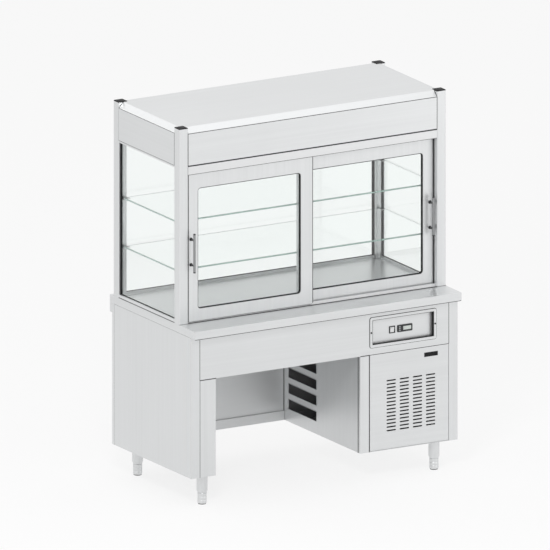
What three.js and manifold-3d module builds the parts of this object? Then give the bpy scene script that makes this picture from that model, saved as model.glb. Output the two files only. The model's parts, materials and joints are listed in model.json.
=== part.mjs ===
// A refrigerated self-service display: a stainless counter base with a knee hole and a
// compressor compartment, and a tall glazed case with two bypass sliding doors on top of it.
// Millimetres. +X runs to the right as the operator sees the front, +Y away from the operator
// towards the customer side, +Z up. The origin is on the floor, under the middle of the worktop.
import * as THREE from 'three';
import { mergeVertices } from 'three/addons/utils/BufferGeometryUtils.js';
import Module from 'manifold-3d';

const wasm = await Module();
wasm.setup();

// Driving dimensions of the whole
const caseWidth = 1500;
const counterDepth = 830;
const counterHeight = 900;
const floorClearance = 150;
const displayDepth = 641;
const displaySetback = 153;
const displayHeight = 988;

// Sheet metal and fits
const sheet = 1.5;
const topSheet = 2;
const fold = 20;
const seatGap = 0.3;
const jointGap = 2;
const overrun = 5;
const mergeLimit = 0.000005;
const quarterTurn = 90;

// Worktop
const worktopEdge = 40;
const frontOverhang = 39;
const lipHeight = 87;
const lipDepth = 23;
const worktopReturn = 26;
const stiffenerWidth = 60;
const stiffenerHeight = 22;
const stiffenerEndGap = 30;
const stiffenerPlaceShares = [0.3, 0.62];

// Counter panels
const frontStrip = 50;
const apronHeight = 220;
const pedestalWidth = 141;
const recess = 2;
const customerPanelDepth = 22;
const kneeRailHeight = 47;
const kneeRailDepth = 7;
const compartmentWidth = 547;
const jambWidth = 52;
const jambDepth = 20;
const floorLip = 15;

// Louvres in the knee-hole side of the compartment
const louvreCount = 4;
const louvreLength = 272;
const louvreHeight = 52;
const louvrePitch = 79.7;
const louvreBackMargin = 39;
const louvreBottomMargin = 64;
const louvreHoodDepth = 12;

// Access door with its slotted grille, and its pivots
const doorFold = 18;
const doorGap = 1.5;
const doorLift = 2;
const slotColumns = 4;
const slotRows = 15;
const slotLength = 52.5;
const slotHeight = 7;
const slotColumnPitch = 73.8;
const slotRowPitch = 18;
const slotGroupLeft = 95;
const slotGroupBottom = 93;
const slotSteps = 1;
const pivotInset = 25;
const pivotSetback = 8;
const pivotRadius = 4;
const pivotLength = 14;
const pivotCollarRadius = 6;
const pivotBore = 4.3;
const pinSteps = 16;

// Control panel
const bezelWidth = 373;
const bezelHeight = 152;
const bezelCorner = 10;
const bezelFlange = 19;
const bezelProud = 3;
const bezelDepth = 18;
const bezelInset = 307.5;
const bezelCentreDrop = 148;
const switchShift = -51.5;
const thermostatShift = 19.5;
const controlDrop = 4;
const switchWidth = 34;
const switchHeight = 36;
const switchProud = 2;
const switchBodyDepth = 28;
const switchWall = 4;
const switchShoulder = 2;
const rockerRadius = 13.4;
const rockerClearance = 0.4;
const rockerTilt = 8;
const rockerFaceRise = 4.6;
const rockerFaceDip = 3.6;
const rockerSteps = 10;
const thermostatWidth = 85;
const thermostatHeight = 36;
const thermostatProud = 3;
const thermostatBodyWidth = 71;
const thermostatBodyHeight = 29;
const thermostatBodyDepth = 58;
const thermostatCorner = 5;
const windowWidth = 44;
const windowHeight = 18;
const windowDepth = 2;
const windowShift = 13;
const keyCount = 3;
const keyWidth = 8;
const keyHeight = 6.4;
const keyPitch = 9.2;
const keyShift = 29;
const keyProud = 1.4;
const keyDepth = 5;
const keyTravel = 0.8;
const keyCorner = 1.5;

// Legs and feet
const legInsetX = 98;
const legInsetY = 101;
const legRadius = 27;
const legTaper = 12;
const legNeckRadius = 23;
const legPlateHeight = 3;
const footHeight = 57;
const footRadius = 22.5;
const footChamfer = 4;
const footStemRadius = 8;
const footStemHeight = 28;
const legSteps = 24;

// Refrigeration unit in the compartment
const compressorRadius = 72;
const compressorHeight = 175;
const compressorShoulder = 34;
const compressorBore = 46;
const compressorBoreHeight = 110;
const compressorBase = 5;
const compressorBaseSize = 190;
const compressorInset = 190;
const compressorBackGap = 180;
const compressorSteps = 24;
const domeSteps = 4;
const terminalWidth = 60;
const terminalDepth = 24;
const terminalLow = 55;
const terminalHeight = 62;
const condenserWidth = 300;
const condenserHeight = 330;
const condenserDepth = 55;
const condenserInset = 261;
const condenserSetback = 45;
const condenserFins = 26;
const finWidthShare = 0.35;
const finGrooveShare = 0.3;
const shroudDepth = 20;
const shroudPlate = 6;
const shroudOpening = 118;
const motorRadius = 34;
const motorDepth = 46;
const motorGap = 4;
const motorArms = 3;
const motorArmWidth = 14;
const motorArmHeight = 4;
const motorArmFoot = 9;
const shaftRadius = 4;
const shaftLength = 13;
const condenserFanTip = 112;
const fanHub = 30;
const fanHubDepth = 18;
const fanBlades = 5;
const bladeThickness = 2.4;
const bladePitch = 28;
const bladeChord = 46;
const bladeCorner = 12;
const bladeSteps = 2;
const fanSteps = 20;
const trayWidth = 215;
const trayDepth = 150;
const trayHeight = 45;
const trayCorner = 12;
const trayInset = 405;
const trayBackGap = 120;

// Display case frame
const postSize = 50;
const postWall = 2;
const postCorner = 4;
const roofRise = 29;
const roofInset = 28;
const postRise = 2;
const fasciaHeight = 161;
const headerHeight = 45;
const glassRecess = 14;
const glassThickness = 6;
const sillHeight = 17;
const sillWall = 9;
const sillFaceSetback = 2;
const deckThickness = 3;
const glassPocket = 12;
const bracketReach = 37;
const bracketThickness = 4;
const bracketWidth = 24;
const shelfHeights = [255, 500];
const shelfThickness = 8;
const shelfSideGap = 4;
const shelfEndGap = 15;

// Sliding doors and their tracks
const doorThickness = 22;
const frontDoorSetback = 8;
const doorPlanePitch = 26;
const doorWall = 2;
const stileWidth = 59;
const meetingStile = 65;
const doorTopRail = 105;
const windowBottom = 66;
const windowCorner = 16;
const doorBottom = 7;
const doorHeadOverlap = 29;
const meetingX = 4;
const slidingGlass = 6;
const glassBite = 9;
const glassSpace = 12;
const trackBase = 3;
const trackRibHeight = 10;
const trackRibWidth = 4;
const grooveClearance = 1;
const trackLip = 2.5;
const headerWeb = 5;
const headerGap = 4;
const doorPlaneGap = 2;
const headerFin = 2;
const soleHeight = 14;
const windowSteps = 4;

// Door handles
const handleRadius = 6;
const handleLength = 198;
const handleStandoff = 34;
const standoffRadius = 4.5;
const standoffPitch = 128;
const handleInset = 20.5;
const handleCentre = 358;
const handleSteps = 12;

// Evaporator unit over the display
const ceilingSheet = 2;
const ceilingGap = 1;
const ceilingOpening = 92;
const ceilingSlots = 20;
const ceilingSlotLength = 120;
const ceilingSlotWidth = 10;
const ceilingSlotPitch = 24;
const evaporatorFanTip = 86;
const evaporatorFanX = -300;
const evaporatorFanY = 60;
const coilWidth = 620;
const coilDepth = 240;
const coilHeight = 110;
const coilX = 180;
const coilBackGap = 24;
const coilFins = 32;

// Refrigerant line
const pipeRadius = 8;
const pipeSteps = 5;
const pipeBendSteps = 5;
const pipeBend = 40;
const pipeClearance = 1;
const pipePostShiftX = 5;
const pipePostShiftY = 9;
const pipeLowHeight = 120;
const pipeHighHeight = 60;

// Places worked out from the dimensions above
const halfWidth = caseWidth / 2;
const worktopFront = -counterDepth / 2;
const worktopBack = counterDepth / 2;
const baseFront = worktopFront + frontOverhang;
const lipInner = worktopBack - lipDepth;
const panelInner = lipInner - customerPanelDepth;
const baseTop = counterHeight - worktopEdge;
const apronBottom = baseTop - apronHeight;
const stripInner = halfWidth - frontStrip;
const pedestalInner = -halfWidth + pedestalWidth;
const compartmentLeft = halfWidth - compartmentWidth;
const jambRight = compartmentLeft + jambWidth;
const jambFront = baseFront + recess;
const caseFront = worktopFront + displaySetback;
const caseBack = caseFront + displayDepth;
const postInner = halfWidth - postSize;
const caseInnerFront = caseFront + postSize;
const caseInnerBack = caseBack - postSize;
const roofTop = displayHeight - postRise;
const fasciaTop = roofTop - roofRise;
const fasciaBottom = fasciaTop - fasciaHeight;
const headerBottom = fasciaBottom - headerHeight;
const doorTop = headerBottom + doorHeadOverlap;
const windowTop = doorTop - doorTopRail;
const bezelCentreX = halfWidth - bezelInset;
const rockerPivot = rockerFaceDip - switchProud;
const compressorX = halfWidth - compressorInset;
const compressorY = panelInner - compressorBackGap;
const condenserX = halfWidth - condenserInset;
const trayX = halfWidth - trayInset;
const trayY = panelInner - trayBackGap;

// A closed, merged three.js geometry as a solid for joining and cutting
function solidOf(geometry) {
  const bare = geometry.index ? geometry.toNonIndexed() : geometry.clone();
  bare.deleteAttribute('normal');
  bare.deleteAttribute('uv');
  const merged = mergeVertices(bare, mergeLimit);
  return new wasm.Manifold(new wasm.Mesh({
    numProp: 3,
    vertProperties: new Float32Array(merged.attributes.position.array),
    triVerts: new Uint32Array(merged.index.array),
  }));
}

// The solid's surface as a three.js geometry
function geometryOf(solid) {
  const surface = solid.getMesh();
  const geometry = new THREE.BufferGeometry();
  geometry.setAttribute('position', new THREE.BufferAttribute(surface.vertProperties, 3));
  geometry.setIndex(new THREE.BufferAttribute(surface.triVerts, 1));
  geometry.computeVertexNormals();
  return geometry;
}

// A block between two opposite corners
function block(low, high) {
  const geometry = new THREE.BoxGeometry(high[0] - low[0], high[1] - low[1], high[2] - low[2]);
  geometry.translate((low[0] + high[0]) / 2, (low[1] + high[1]) / 2, (low[2] + high[2]) / 2);
  return solidOf(geometry);
}

// An outline of [x, y] points
function outline(points) {
  return new THREE.Shape(points.map(([x, y]) => new THREE.Vector2(x, y)));
}

// A rectangle outline with round corners
function roundedOutline(left, bottom, right, top, radius) {
  const shape = new THREE.Shape();
  const quarter = Math.PI / 2;
  shape.absarc(right - radius, bottom + radius, radius, -quarter, 0, false);
  shape.absarc(right - radius, top - radius, radius, 0, quarter, false);
  shape.absarc(left + radius, top - radius, radius, quarter, Math.PI, false);
  shape.absarc(left + radius, bottom + radius, radius, Math.PI, Math.PI + quarter, false);
  return shape;
}

// An outline in X and Y, raised from z0 to z1
function riseZ(shape, z0, z1, curveSegments = windowSteps) {
  const geometry = new THREE.ExtrudeGeometry(shape, {
    depth: z1 - z0, bevelEnabled: false, curveSegments,
  });
  geometry.translate(0, 0, z0);
  return solidOf(geometry);
}

// An outline in Y and Z, run from x0 to x1
function runX(shape, x0, x1, curveSegments = windowSteps) {
  const geometry = new THREE.ExtrudeGeometry(shape, {
    depth: x1 - x0, bevelEnabled: false, curveSegments,
  });
  geometry.translate(0, 0, x0);
  geometry.applyMatrix4(new THREE.Matrix4().set(0, 0, 1, 0, 1, 0, 0, 0, 0, 1, 0, 0, 0, 0, 0, 1));
  return solidOf(geometry);
}

// An outline in X and Z, run from y0 to y1
function runY(shape, y0, y1, curveSegments = windowSteps) {
  const geometry = new THREE.ExtrudeGeometry(shape, {
    depth: y1 - y0, bevelEnabled: false, curveSegments,
  });
  geometry.translate(0, 0, -y1);
  geometry.rotateX(Math.PI / 2);
  return solidOf(geometry);
}

// A turned piece about Z from [radius, height] points that start and end on the axis
function turned(points, steps) {
  const profile = points.map(([radius, height]) => new THREE.Vector2(radius, height));
  const geometry = new THREE.LatheGeometry(profile, steps);
  geometry.rotateX(Math.PI / 2);
  return solidOf(geometry);
}

// A plain cylinder about Z
function rod(radius, z0, z1, steps) {
  return turned([[0, z0], [radius, z0], [radius, z1], [0, z1]], steps);
}

const satin = { color: 0xd9dbdc, roughness: 0.34, metalness: 0.9 };
const aluminium = { color: 0xe2e4e5, roughness: 0.3, metalness: 0.85 };
const clearGlass = { color: 0xe4f1ef, roughness: 0.04, metalness: 0, transparent: true, opacity: 0.3 };
const blackPlastic = { color: 0x1b1c1e, roughness: 0.5, metalness: 0 };
const greyPlastic = { color: 0x8d9195, roughness: 0.55, metalness: 0 };
const palePlastic = { color: 0xdcdcd8, roughness: 0.4, metalness: 0 };
const paleWindow = { color: 0xc9cec9, roughness: 0.12, metalness: 0 };
const blackPaint = { color: 0x202224, roughness: 0.45, metalness: 0.2 };
const copper = { color: 0xb87548, roughness: 0.35, metalness: 0.9 };
const coilMetal = { color: 0xb9bdc0, roughness: 0.45, metalness: 0.8 };

// A named piece in a finish, placed in its group
function piece(group, name, solid, finish, place = [0, 0, 0]) {
  const mesh = new THREE.Mesh(geometryOf(solid), new THREE.MeshStandardMaterial(finish));
  mesh.name = name;
  mesh.position.set(...place);
  group.add(mesh);
  return mesh;
}

// The worktop: an open-bottomed pan with turned-in edges, a deep box lip on the customer side and
// two channel stiffeners under its top sheet
function worktop() {
  const skinTop = counterHeight - topSheet;
  const lipBottom = counterHeight - lipHeight;
  let solid = block([-halfWidth, worktopFront, baseTop], [halfWidth, worktopBack, counterHeight]);
  solid = solid.add(block([-halfWidth, lipInner, lipBottom], [halfWidth, worktopBack, counterHeight]));
  const inside = halfWidth - topSheet;
  solid = solid.subtract(block(
    [-inside, worktopFront + topSheet, baseTop + topSheet],
    [inside, worktopBack - topSheet, skinTop],
  ));
  solid = solid.subtract(block(
    [-inside, lipInner + topSheet, lipBottom + topSheet],
    [inside, worktopBack - topSheet, skinTop],
  ));
  const mouth = halfWidth - worktopReturn;
  solid = solid.subtract(block(
    [-mouth, worktopFront + worktopReturn, baseTop - overrun],
    [mouth, lipInner - worktopReturn, baseTop + topSheet + overrun],
  ));
  const reach = mouth - stiffenerEndGap;
  for (const share of stiffenerPlaceShares) {
    const y = worktopFront + share * counterDepth;
    const channel = block(
      [-reach, y - stiffenerWidth / 2, skinTop - stiffenerHeight],
      [reach, y + stiffenerWidth / 2, skinTop + topSheet / 2],
    ).subtract(block(
      [-reach - overrun, y - stiffenerWidth / 2 + sheet, skinTop - stiffenerHeight + sheet],
      [reach + overrun, y + stiffenerWidth / 2 - sheet, skinTop],
    ));
    solid = solid.add(channel);
  }
  return solid;
}

// A side panel folded at the front, the back, the top and the bottom; side is -1 left, 1 right
function sidePanel(side) {
  const front = baseFront;
  const back = panelInner;
  const outer = side * halfWidth;
  const inner = side * stripInner;
  const low = Math.min(outer, inner);
  const high = Math.max(outer, inner);
  let solid = block([low, front, floorClearance], [high, back, baseTop]);
  const cavityLow = side < 0 ? low + sheet : low - overrun;
  const cavityHigh = side < 0 ? high + overrun : high - sheet;
  solid = solid.subtract(block(
    [cavityLow, front + fold, floorClearance + sheet],
    [cavityHigh, back - sheet, baseTop - sheet],
  ));
  solid = solid.subtract(block(
    [low + sheet, front + sheet, floorClearance + sheet],
    [high - sheet, front + fold + overrun, baseTop - sheet],
  ));
  const trim = side * (halfWidth - fold);
  const trimLow = side < 0 ? trim : low - overrun;
  const trimHigh = side < 0 ? high + overrun : trim;
  return solid.subtract(block(
    [trimLow, front + fold, floorClearance - overrun],
    [trimHigh, back + overrun, baseTop + overrun],
  ));
}

// The apron across the front, with the cut-out that the control panel sits in
function apron() {
  const reach = stripInner;
  let solid = block([-reach, baseFront, apronBottom], [reach, baseFront + fold, baseTop]);
  solid = solid.subtract(block(
    [-reach - overrun, baseFront + sheet, apronBottom + sheet],
    [reach + overrun, baseFront + fold + overrun, baseTop - sheet],
  ));
  const width = bezelWidth - 2 * bezelFlange + 2 * jointGap;
  const height = bezelHeight - 2 * bezelFlange + 2 * jointGap;
  const z = counterHeight - bezelCentreDrop;
  return solid.subtract(block(
    [bezelCentreX - width / 2, baseFront - overrun, z - height / 2],
    [bezelCentreX + width / 2, baseFront + fold, z + height / 2],
  ));
}

// The customer panel: a double wall, open along its top, with a rail along its inner foot
function customerPanel() {
  let solid = block([-halfWidth, panelInner, floorClearance], [halfWidth, lipInner, baseTop]);
  solid = solid.subtract(block(
    [-halfWidth + sheet, panelInner + sheet, floorClearance + sheet],
    [halfWidth - sheet, lipInner - sheet, baseTop + overrun],
  ));
  return solid.add(block(
    [pedestalInner + seatGap, panelInner - kneeRailDepth, floorClearance],
    [compartmentLeft - seatGap, panelInner + sheet / 2, floorClearance + kneeRailHeight],
  ));
}

// The lining of the left pedestal: front strip, knee-hole side and the plate that takes two legs
function kneeLining() {
  const left = -stripInner + seatGap;
  const front = jambFront;
  const back = panelInner;
  const bottom = floorClearance;
  let solid = block([left, front, bottom], [pedestalInner, back, baseTop]);
  const cutTop = baseTop + overrun;
  solid = solid.subtract(block(
    [left - overrun, front + sheet, bottom + legPlateHeight],
    [pedestalInner - sheet, back + overrun, cutTop],
  ));
  return solid.subtract(block(
    [left - overrun, front - overrun, apronBottom - seatGap],
    [pedestalInner + overrun, baseFront + fold + seatGap, cutTop],
  ));
}

// The jamb that the access door hangs beside: a channel open towards the compartment
function compartmentJamb() {
  const front = jambFront;
  const back = jambFront + jambDepth;
  let solid = block([compartmentLeft, front, floorClearance], [jambRight, back, apronBottom]);
  return solid.subtract(block(
    [compartmentLeft + sheet, front + sheet, floorClearance - overrun],
    [jambRight - sheet, back + overrun, apronBottom + overrun],
  ));
}

// The knee-hole side of the compartment, with pressed louvres whose short hoods lean inwards
function compartmentSide() {
  const left = compartmentLeft;
  const right = compartmentLeft + sheet;
  const front = jambFront + jambDepth;
  const flange = compartmentLeft + fold;
  let solid = block([left, front, floorClearance], [right, panelInner, baseTop]);
  solid = solid.add(block([left, front, baseTop - sheet], [flange, panelInner, baseTop]));
  solid = solid.add(block([left, front, floorClearance], [flange, panelInner, floorClearance + sheet]));
  const back = panelInner - kneeRailDepth - louvreBackMargin;
  for (let index = 0; index < louvreCount; index += 1) {
    const z = floorClearance + louvreBottomMargin + index * louvrePitch;
    solid = solid.subtract(block(
      [left - overrun, back - louvreLength, z],
      [right + overrun, back, z + louvreHeight],
    ));
    const edge = z + louvreHeight;
    const hood = outline([
      [left, edge],
      [right, edge],
      [right + louvreHoodDepth, edge - louvreHoodDepth],
      [right + louvreHoodDepth + sheet, edge - louvreHoodDepth],
      [right, edge + sheet],
      [left, edge + sheet],
    ]);
    solid = solid.add(runY(hood, back - louvreLength, back));
  }
  return solid;
}

// The compartment floor: a plate that takes two legs, with its front edge turned up
function compartmentFloor() {
  const left = compartmentLeft + fold + jointGap;
  const right = halfWidth - fold - jointGap;
  const front = baseFront + recess;
  const bottom = floorClearance;
  let solid = block([left, front, bottom], [right, panelInner, bottom + legPlateHeight]);
  solid = solid.subtract(block(
    [left - overrun, front - overrun, bottom - overrun],
    [jambRight + jointGap, front + jambDepth + seatGap, bottom + legPlateHeight + overrun],
  ));
  solid = solid.subtract(block(
    [stripInner - seatGap, front - overrun, bottom - overrun],
    [right + overrun, baseFront + fold + seatGap, bottom + legPlateHeight + overrun],
  ));
  const lipFront = front + doorFold + jointGap;
  const swing = Math.hypot(pivotInset, doorFold - pivotSetback) + jointGap;
  return solid.add(block(
    [pivotX + swing, lipFront, bottom],
    [stripInner - fold, lipFront + sheet, bottom + legPlateHeight + floorLip],
  ));
}

// A slot with half-round ends, in X and Z
function slotShape(x, z) {
  const radius = slotHeight / 2;
  return roundedOutline(x, z, x + slotLength, z + slotHeight, radius);
}

const doorLeft = jambRight + doorGap;
const doorRight = stripInner - doorGap;
const doorLow = floorClearance + legPlateHeight + doorLift;
const doorHigh = apronBottom - doorLift;
const pivotX = doorLeft + pivotInset;
const pivotY = baseFront + pivotSetback;

// The access door: a shallow pan with the slotted grille, bored at two corners for its pivots
function grilleDoor() {
  let solid = block([doorLeft, baseFront, doorLow], [doorRight, baseFront + doorFold, doorHigh]);
  solid = solid.subtract(block(
    [doorLeft + sheet, baseFront + sheet, doorLow + sheet],
    [doorRight - sheet, baseFront + doorFold + overrun, doorHigh - sheet],
  ));
  const slots = [];
  for (let column = 0; column < slotColumns; column += 1) {
    for (let row = 0; row < slotRows; row += 1) {
      const x = jambRight + slotGroupLeft + column * slotColumnPitch;
      const z = floorClearance + slotGroupBottom + row * slotRowPitch;
      slots.push(runY(slotShape(x, z), baseFront - overrun, baseFront + sheet + overrun, slotSteps));
    }
  }
  solid = solid.subtract(wasm.Manifold.union(slots));
  const bore = rod(pivotBore, doorLow - overrun, doorHigh + overrun, pinSteps);
  return solid.subtract(bore.translate([pivotX, pivotY, 0]));
}

// A door pivot: a pin on a collar, standing on z = 0
function doorPivot() {
  const pivotCollarHeight = doorLift - seatGap;
  return turned([
    [0, 0],
    [pivotCollarRadius, 0],
    [pivotCollarRadius, pivotCollarHeight],
    [pivotRadius, pivotCollarHeight],
    [pivotRadius, pivotCollarHeight + pivotLength],
    [0, pivotCollarHeight + pivotLength],
  ], pinSteps);
}

// The control panel's bezel: a flange proud of the apron and a tray behind it, cut for the
// rocker switch and the thermostat. Its own origin is the middle of the flange's back plane.
function controlBezel() {
  const x = bezelWidth / 2;
  const z = bezelHeight / 2;
  const insideX = x - bezelFlange;
  const insideZ = z - bezelFlange;
  const back = bezelDepth + sheet;
  let solid = runY(roundedOutline(-x, -z, x, z, bezelCorner), -bezelProud, 0);
  solid = solid.add(block(
    [-insideX - sheet, -bezelProud / 2, -insideZ - sheet],
    [insideX + sheet, back, insideZ + sheet],
  ));
  solid = solid.subtract(block(
    [-insideX, -bezelProud - overrun, -insideZ],
    [insideX, bezelDepth, insideZ],
  ));
  const cuts = [
    [switchShift, switchWidth - 2 * switchShoulder, switchHeight - 2 * switchShoulder],
    [thermostatShift, thermostatBodyWidth, thermostatBodyHeight],
  ];
  for (const [cutX, width, height] of cuts) {
    solid = solid.subtract(block(
      [cutX - width / 2 - seatGap, bezelDepth - overrun, -controlDrop - height / 2 - seatGap],
      [cutX + width / 2 + seatGap, back + overrun, -controlDrop + height / 2 + seatGap],
    ));
  }
  return solid;
}

// The switch body, its front flange on y = 0, with a round seat for the rocker
function switchBody() {
  const x = switchWidth / 2;
  const z = switchHeight / 2;
  const bodyX = x - switchShoulder;
  const bodyZ = z - switchShoulder;
  let solid = runY(roundedOutline(-x, -z, x, z, sheet), -switchProud, 0);
  solid = solid.add(block([-bodyX, -switchProud / 2, -bodyZ], [bodyX, switchBodyDepth, bodyZ]));
  const seat = rockerRadius + rockerClearance;
  const half = bodyX - switchWall;
  const round = new THREE.Shape();
  round.absarc(rockerPivot, 0, seat, 0, 2 * Math.PI, false);
  solid = solid.subtract(runX(round, -half, half, rockerSteps));
  return solid.subtract(block([-half, -switchProud - overrun, -seat], [half, rockerPivot, seat]));
}

// The rocker about its own pivot along X: a round back and two shallow front faces
function switchRocker() {
  const lift = Math.PI / 2 + Math.asin(rockerFaceRise / rockerRadius);
  const round = new THREE.Shape();
  round.absarc(0, 0, rockerRadius, -lift, lift, false);
  round.lineTo(-rockerFaceDip, 0);
  const half = switchWidth / 2 - switchShoulder - switchWall - rockerClearance;
  return runX(round, -half, half, rockerSteps);
}

// Where the middle of key number index lies, in X and Z about the thermostat's middle
function keyPlace(index) {
  return [-keyShift, (index - (keyCount - 1) / 2) * -keyPitch];
}

// The thermostat body, its front flange on y = 0, recessed for its window and bored for its keys
function thermostatBody() {
  const x = thermostatWidth / 2;
  const z = thermostatHeight / 2;
  const bodyX = thermostatBodyWidth / 2;
  const bodyZ = thermostatBodyHeight / 2;
  let solid = runY(roundedOutline(-x, -z, x, z, thermostatCorner), -thermostatProud, 0);
  solid = solid.add(block(
    [-bodyX, -thermostatProud / 2, -bodyZ],
    [bodyX, thermostatBodyDepth, bodyZ],
  ));
  solid = solid.subtract(block(
    [windowShift - windowWidth / 2 - seatGap, -thermostatProud - overrun, -windowHeight / 2 - seatGap],
    [windowShift + windowWidth / 2 + seatGap, windowDepth - thermostatProud, windowHeight / 2 + seatGap],
  ));
  for (let index = 0; index < keyCount; index += 1) {
    const [keyX, keyZ] = keyPlace(index);
    solid = solid.subtract(block(
      [keyX - keyWidth / 2 - seatGap, -thermostatProud - overrun, keyZ - keyHeight / 2 - seatGap],
      [keyX + keyWidth / 2 + seatGap, keyDepth + keyTravel, keyZ + keyHeight / 2 + seatGap],
    ));
  }
  return solid;
}

// A thermostat key, its middle on y = 0 at the back of the thermostat's flange
function thermostatKey() {
  const x = keyWidth / 2;
  const z = keyHeight / 2;
  const front = -thermostatProud - keyProud;
  return runY(roundedOutline(-x, -z, x, z, keyCorner), front, keyDepth - seatGap);
}

// A leg: a stout tube end with a tapered neck, bored for the foot's stem; its top is z = 0
function legTube() {
  const bottom = footHeight - floorClearance;
  const bore = footStemRadius + seatGap;
  const boreTop = bottom + footStemHeight + jointGap;
  return turned([
    [0, boreTop],
    [bore, boreTop],
    [bore, bottom],
    [legNeckRadius, bottom],
    [legRadius, bottom + legTaper],
    [legRadius, 0],
    [0, 0],
  ], legSteps);
}

// An adjustable foot: a turned pad with a stem, standing on z = 0
function foot() {
  const top = footHeight - seatGap;
  return turned([
    [0, 0],
    [footRadius - footChamfer, 0],
    [footRadius, footChamfer],
    [footRadius, top],
    [footStemRadius, top],
    [footStemRadius, top + footStemHeight],
    [0, top + footStemHeight],
  ], legSteps);
}

// The compressor: a domed pot on a square foot plate, with its terminal box
function compressor() {
  const points = [[0, 0], [compressorRadius, 0]];
  const straight = compressorHeight - compressorShoulder;
  for (let step = 0; step <= domeSteps; step += 1) {
    const angle = step / domeSteps * Math.PI / 2;
    const radius = compressorRadius - compressorShoulder * (1 - Math.cos(angle));
    points.push([radius, straight + compressorShoulder * Math.sin(angle)]);
  }
  points.push([0, compressorHeight]);
  const half = compressorBaseSize / 2;
  let solid = turned(points, compressorSteps);
  solid = solid.add(riseZ(roundedOutline(-half, -half, half, half, fold), 0, compressorBase));
  solid = solid.subtract(rod(compressorBore, -overrun, compressorBoreHeight, compressorSteps));
  return solid.add(block(
    [-terminalWidth / 2, -compressorRadius - terminalDepth, terminalLow],
    [terminalWidth / 2, -compressorRadius + overrun, terminalLow + terminalHeight],
  ));
}

// A finned coil block on z = 0: a core with straight fins standing out of its front and back
function finnedBlock(width, depth, height, fins) {
  const pitch = width / fins;
  const finWidth = pitch * finWidthShare;
  const groove = depth * finGrooveShare;
  const front = [];
  const back = [];
  for (let index = 0; index < fins; index += 1) {
    const left = -width / 2 + index * pitch + (pitch - finWidth) / 2;
    const right = left + finWidth;
    const root = depth / 2 - groove;
    front.push([left, -root], [left, -depth / 2], [right, -depth / 2], [right, -root]);
    back.push([left, root], [left, depth / 2], [right, depth / 2], [right, root]);
  }
  return riseZ(outline([...front, ...back.reverse()]), 0, height);
}

// A fan rotor about Z, its hub on z = 0 and bored from above for the motor shaft
function fanRotor(tip) {
  let solid = rod(fanHub, 0, fanHubDepth, fanSteps);
  const root = fanHub - overrun;
  for (let index = 0; index < fanBlades; index += 1) {
    const blade = riseZ(
      roundedOutline(root, -bladeChord / 2, tip, bladeChord / 2, bladeCorner),
      -bladeThickness / 2,
      bladeThickness / 2,
      bladeSteps,
    );
    const turn = THREE.MathUtils.radToDeg(index / fanBlades * 2 * Math.PI);
    const placed = blade.rotate([bladePitch, 0, 0]).translate([0, 0, fanHubDepth / 2]);
    solid = solid.add(placed.rotate([0, 0, turn]));
  }
  const bore = rod(shaftRadius + seatGap, fanHubDepth - shaftLength, fanHubDepth + overrun, pinSteps);
  return solid.subtract(bore);
}

// A fan motor above its rotor, with its shaft and three arms standing on a plate at height plate
function motorMount(opening, plate) {
  const face = fanHubDepth + motorGap;
  let solid = rod(motorRadius, face, face + motorDepth, fanSteps);
  solid = solid.add(rod(shaftRadius, face - shaftLength, face + overrun, pinSteps));
  const armLow = face + motorGap;
  for (let index = 0; index < motorArms; index += 1) {
    const half = motorArmWidth / 2;
    const arm = block([motorRadius - overrun, -half, armLow], [
      opening + motorArmFoot, half, armLow + motorArmHeight,
    ]).add(block([opening + sheet, -half, plate], [
      opening + motorArmFoot, half, armLow + motorArmHeight,
    ]));
    solid = solid.add(arm.rotate([0, 0, THREE.MathUtils.radToDeg(index / motorArms * 2 * Math.PI)]));
  }
  return solid;
}

// The condenser's shroud about the fan's axis: a square hood with a round opening, and the motor
function fanShroud() {
  const x = condenserWidth / 2;
  const y = condenserHeight / 2;
  let solid = block([-x, -y, shroudPlate - shroudDepth], [x, y, shroudPlate]);
  solid = solid.subtract(block(
    [sheet - x, sheet - y, shroudPlate - shroudDepth - overrun],
    [x - sheet, y - sheet, shroudPlate - sheet],
  ));
  solid = solid.subtract(rod(shroudOpening, -shroudDepth, shroudPlate + overrun, fanSteps));
  return solid.add(motorMount(shroudOpening, shroudPlate - sheet / 2));
}

// The tray that the warm compressor dries the defrost water in
function evaporatingTray() {
  const x = trayWidth / 2;
  const y = trayDepth / 2;
  const wall = sheet;
  const solid = riseZ(roundedOutline(-x, -y, x, y, trayCorner), 0, trayHeight);
  return solid.subtract(riseZ(
    roundedOutline(wall - x, wall - y, x - wall, y - wall, trayCorner - wall),
    wall,
    trayHeight + overrun,
  ));
}

// A run of pipe through the given corners, with straight rods joined by round bends
function pipeRun(corners) {
  const points = corners.map((corner) => new THREE.Vector3(...corner));
  const joins = [];
  for (let index = 1; index < points.length - 1; index += 1) {
    const before = points[index - 1].clone().sub(points[index]).setLength(pipeBend);
    const after = points[index + 1].clone().sub(points[index]).setLength(pipeBend);
    joins.push([points[index].clone().add(before), points[index], points[index].clone().add(after)]);
  }
  const starts = [points[0], ...joins.map((join) => join[2])];
  const ends = [...joins.map((join) => join[0]), points[points.length - 1]];
  const section = new THREE.Shape();
  section.absarc(0, 0, pipeRadius, 0, 2 * Math.PI, false);
  const parts = starts.map((start, index) => {
    const path = new THREE.LineCurve3(start, ends[index]);
    return solidOf(new THREE.ExtrudeGeometry(section, {
      steps: 1, curveSegments: pipeSteps, extrudePath: path,
    }));
  });
  for (const [start, corner, end] of joins) {
    const reach = (point) => point.clone().add(point.clone().sub(corner).setLength(seatGap));
    const path = new THREE.QuadraticBezierCurve3(reach(start), corner, reach(end));
    parts.push(solidOf(new THREE.ExtrudeGeometry(section, {
      steps: pipeBendSteps, curveSegments: pipeSteps, extrudePath: path,
    })));
  }
  return wasm.Manifold.union(parts);
}

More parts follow.
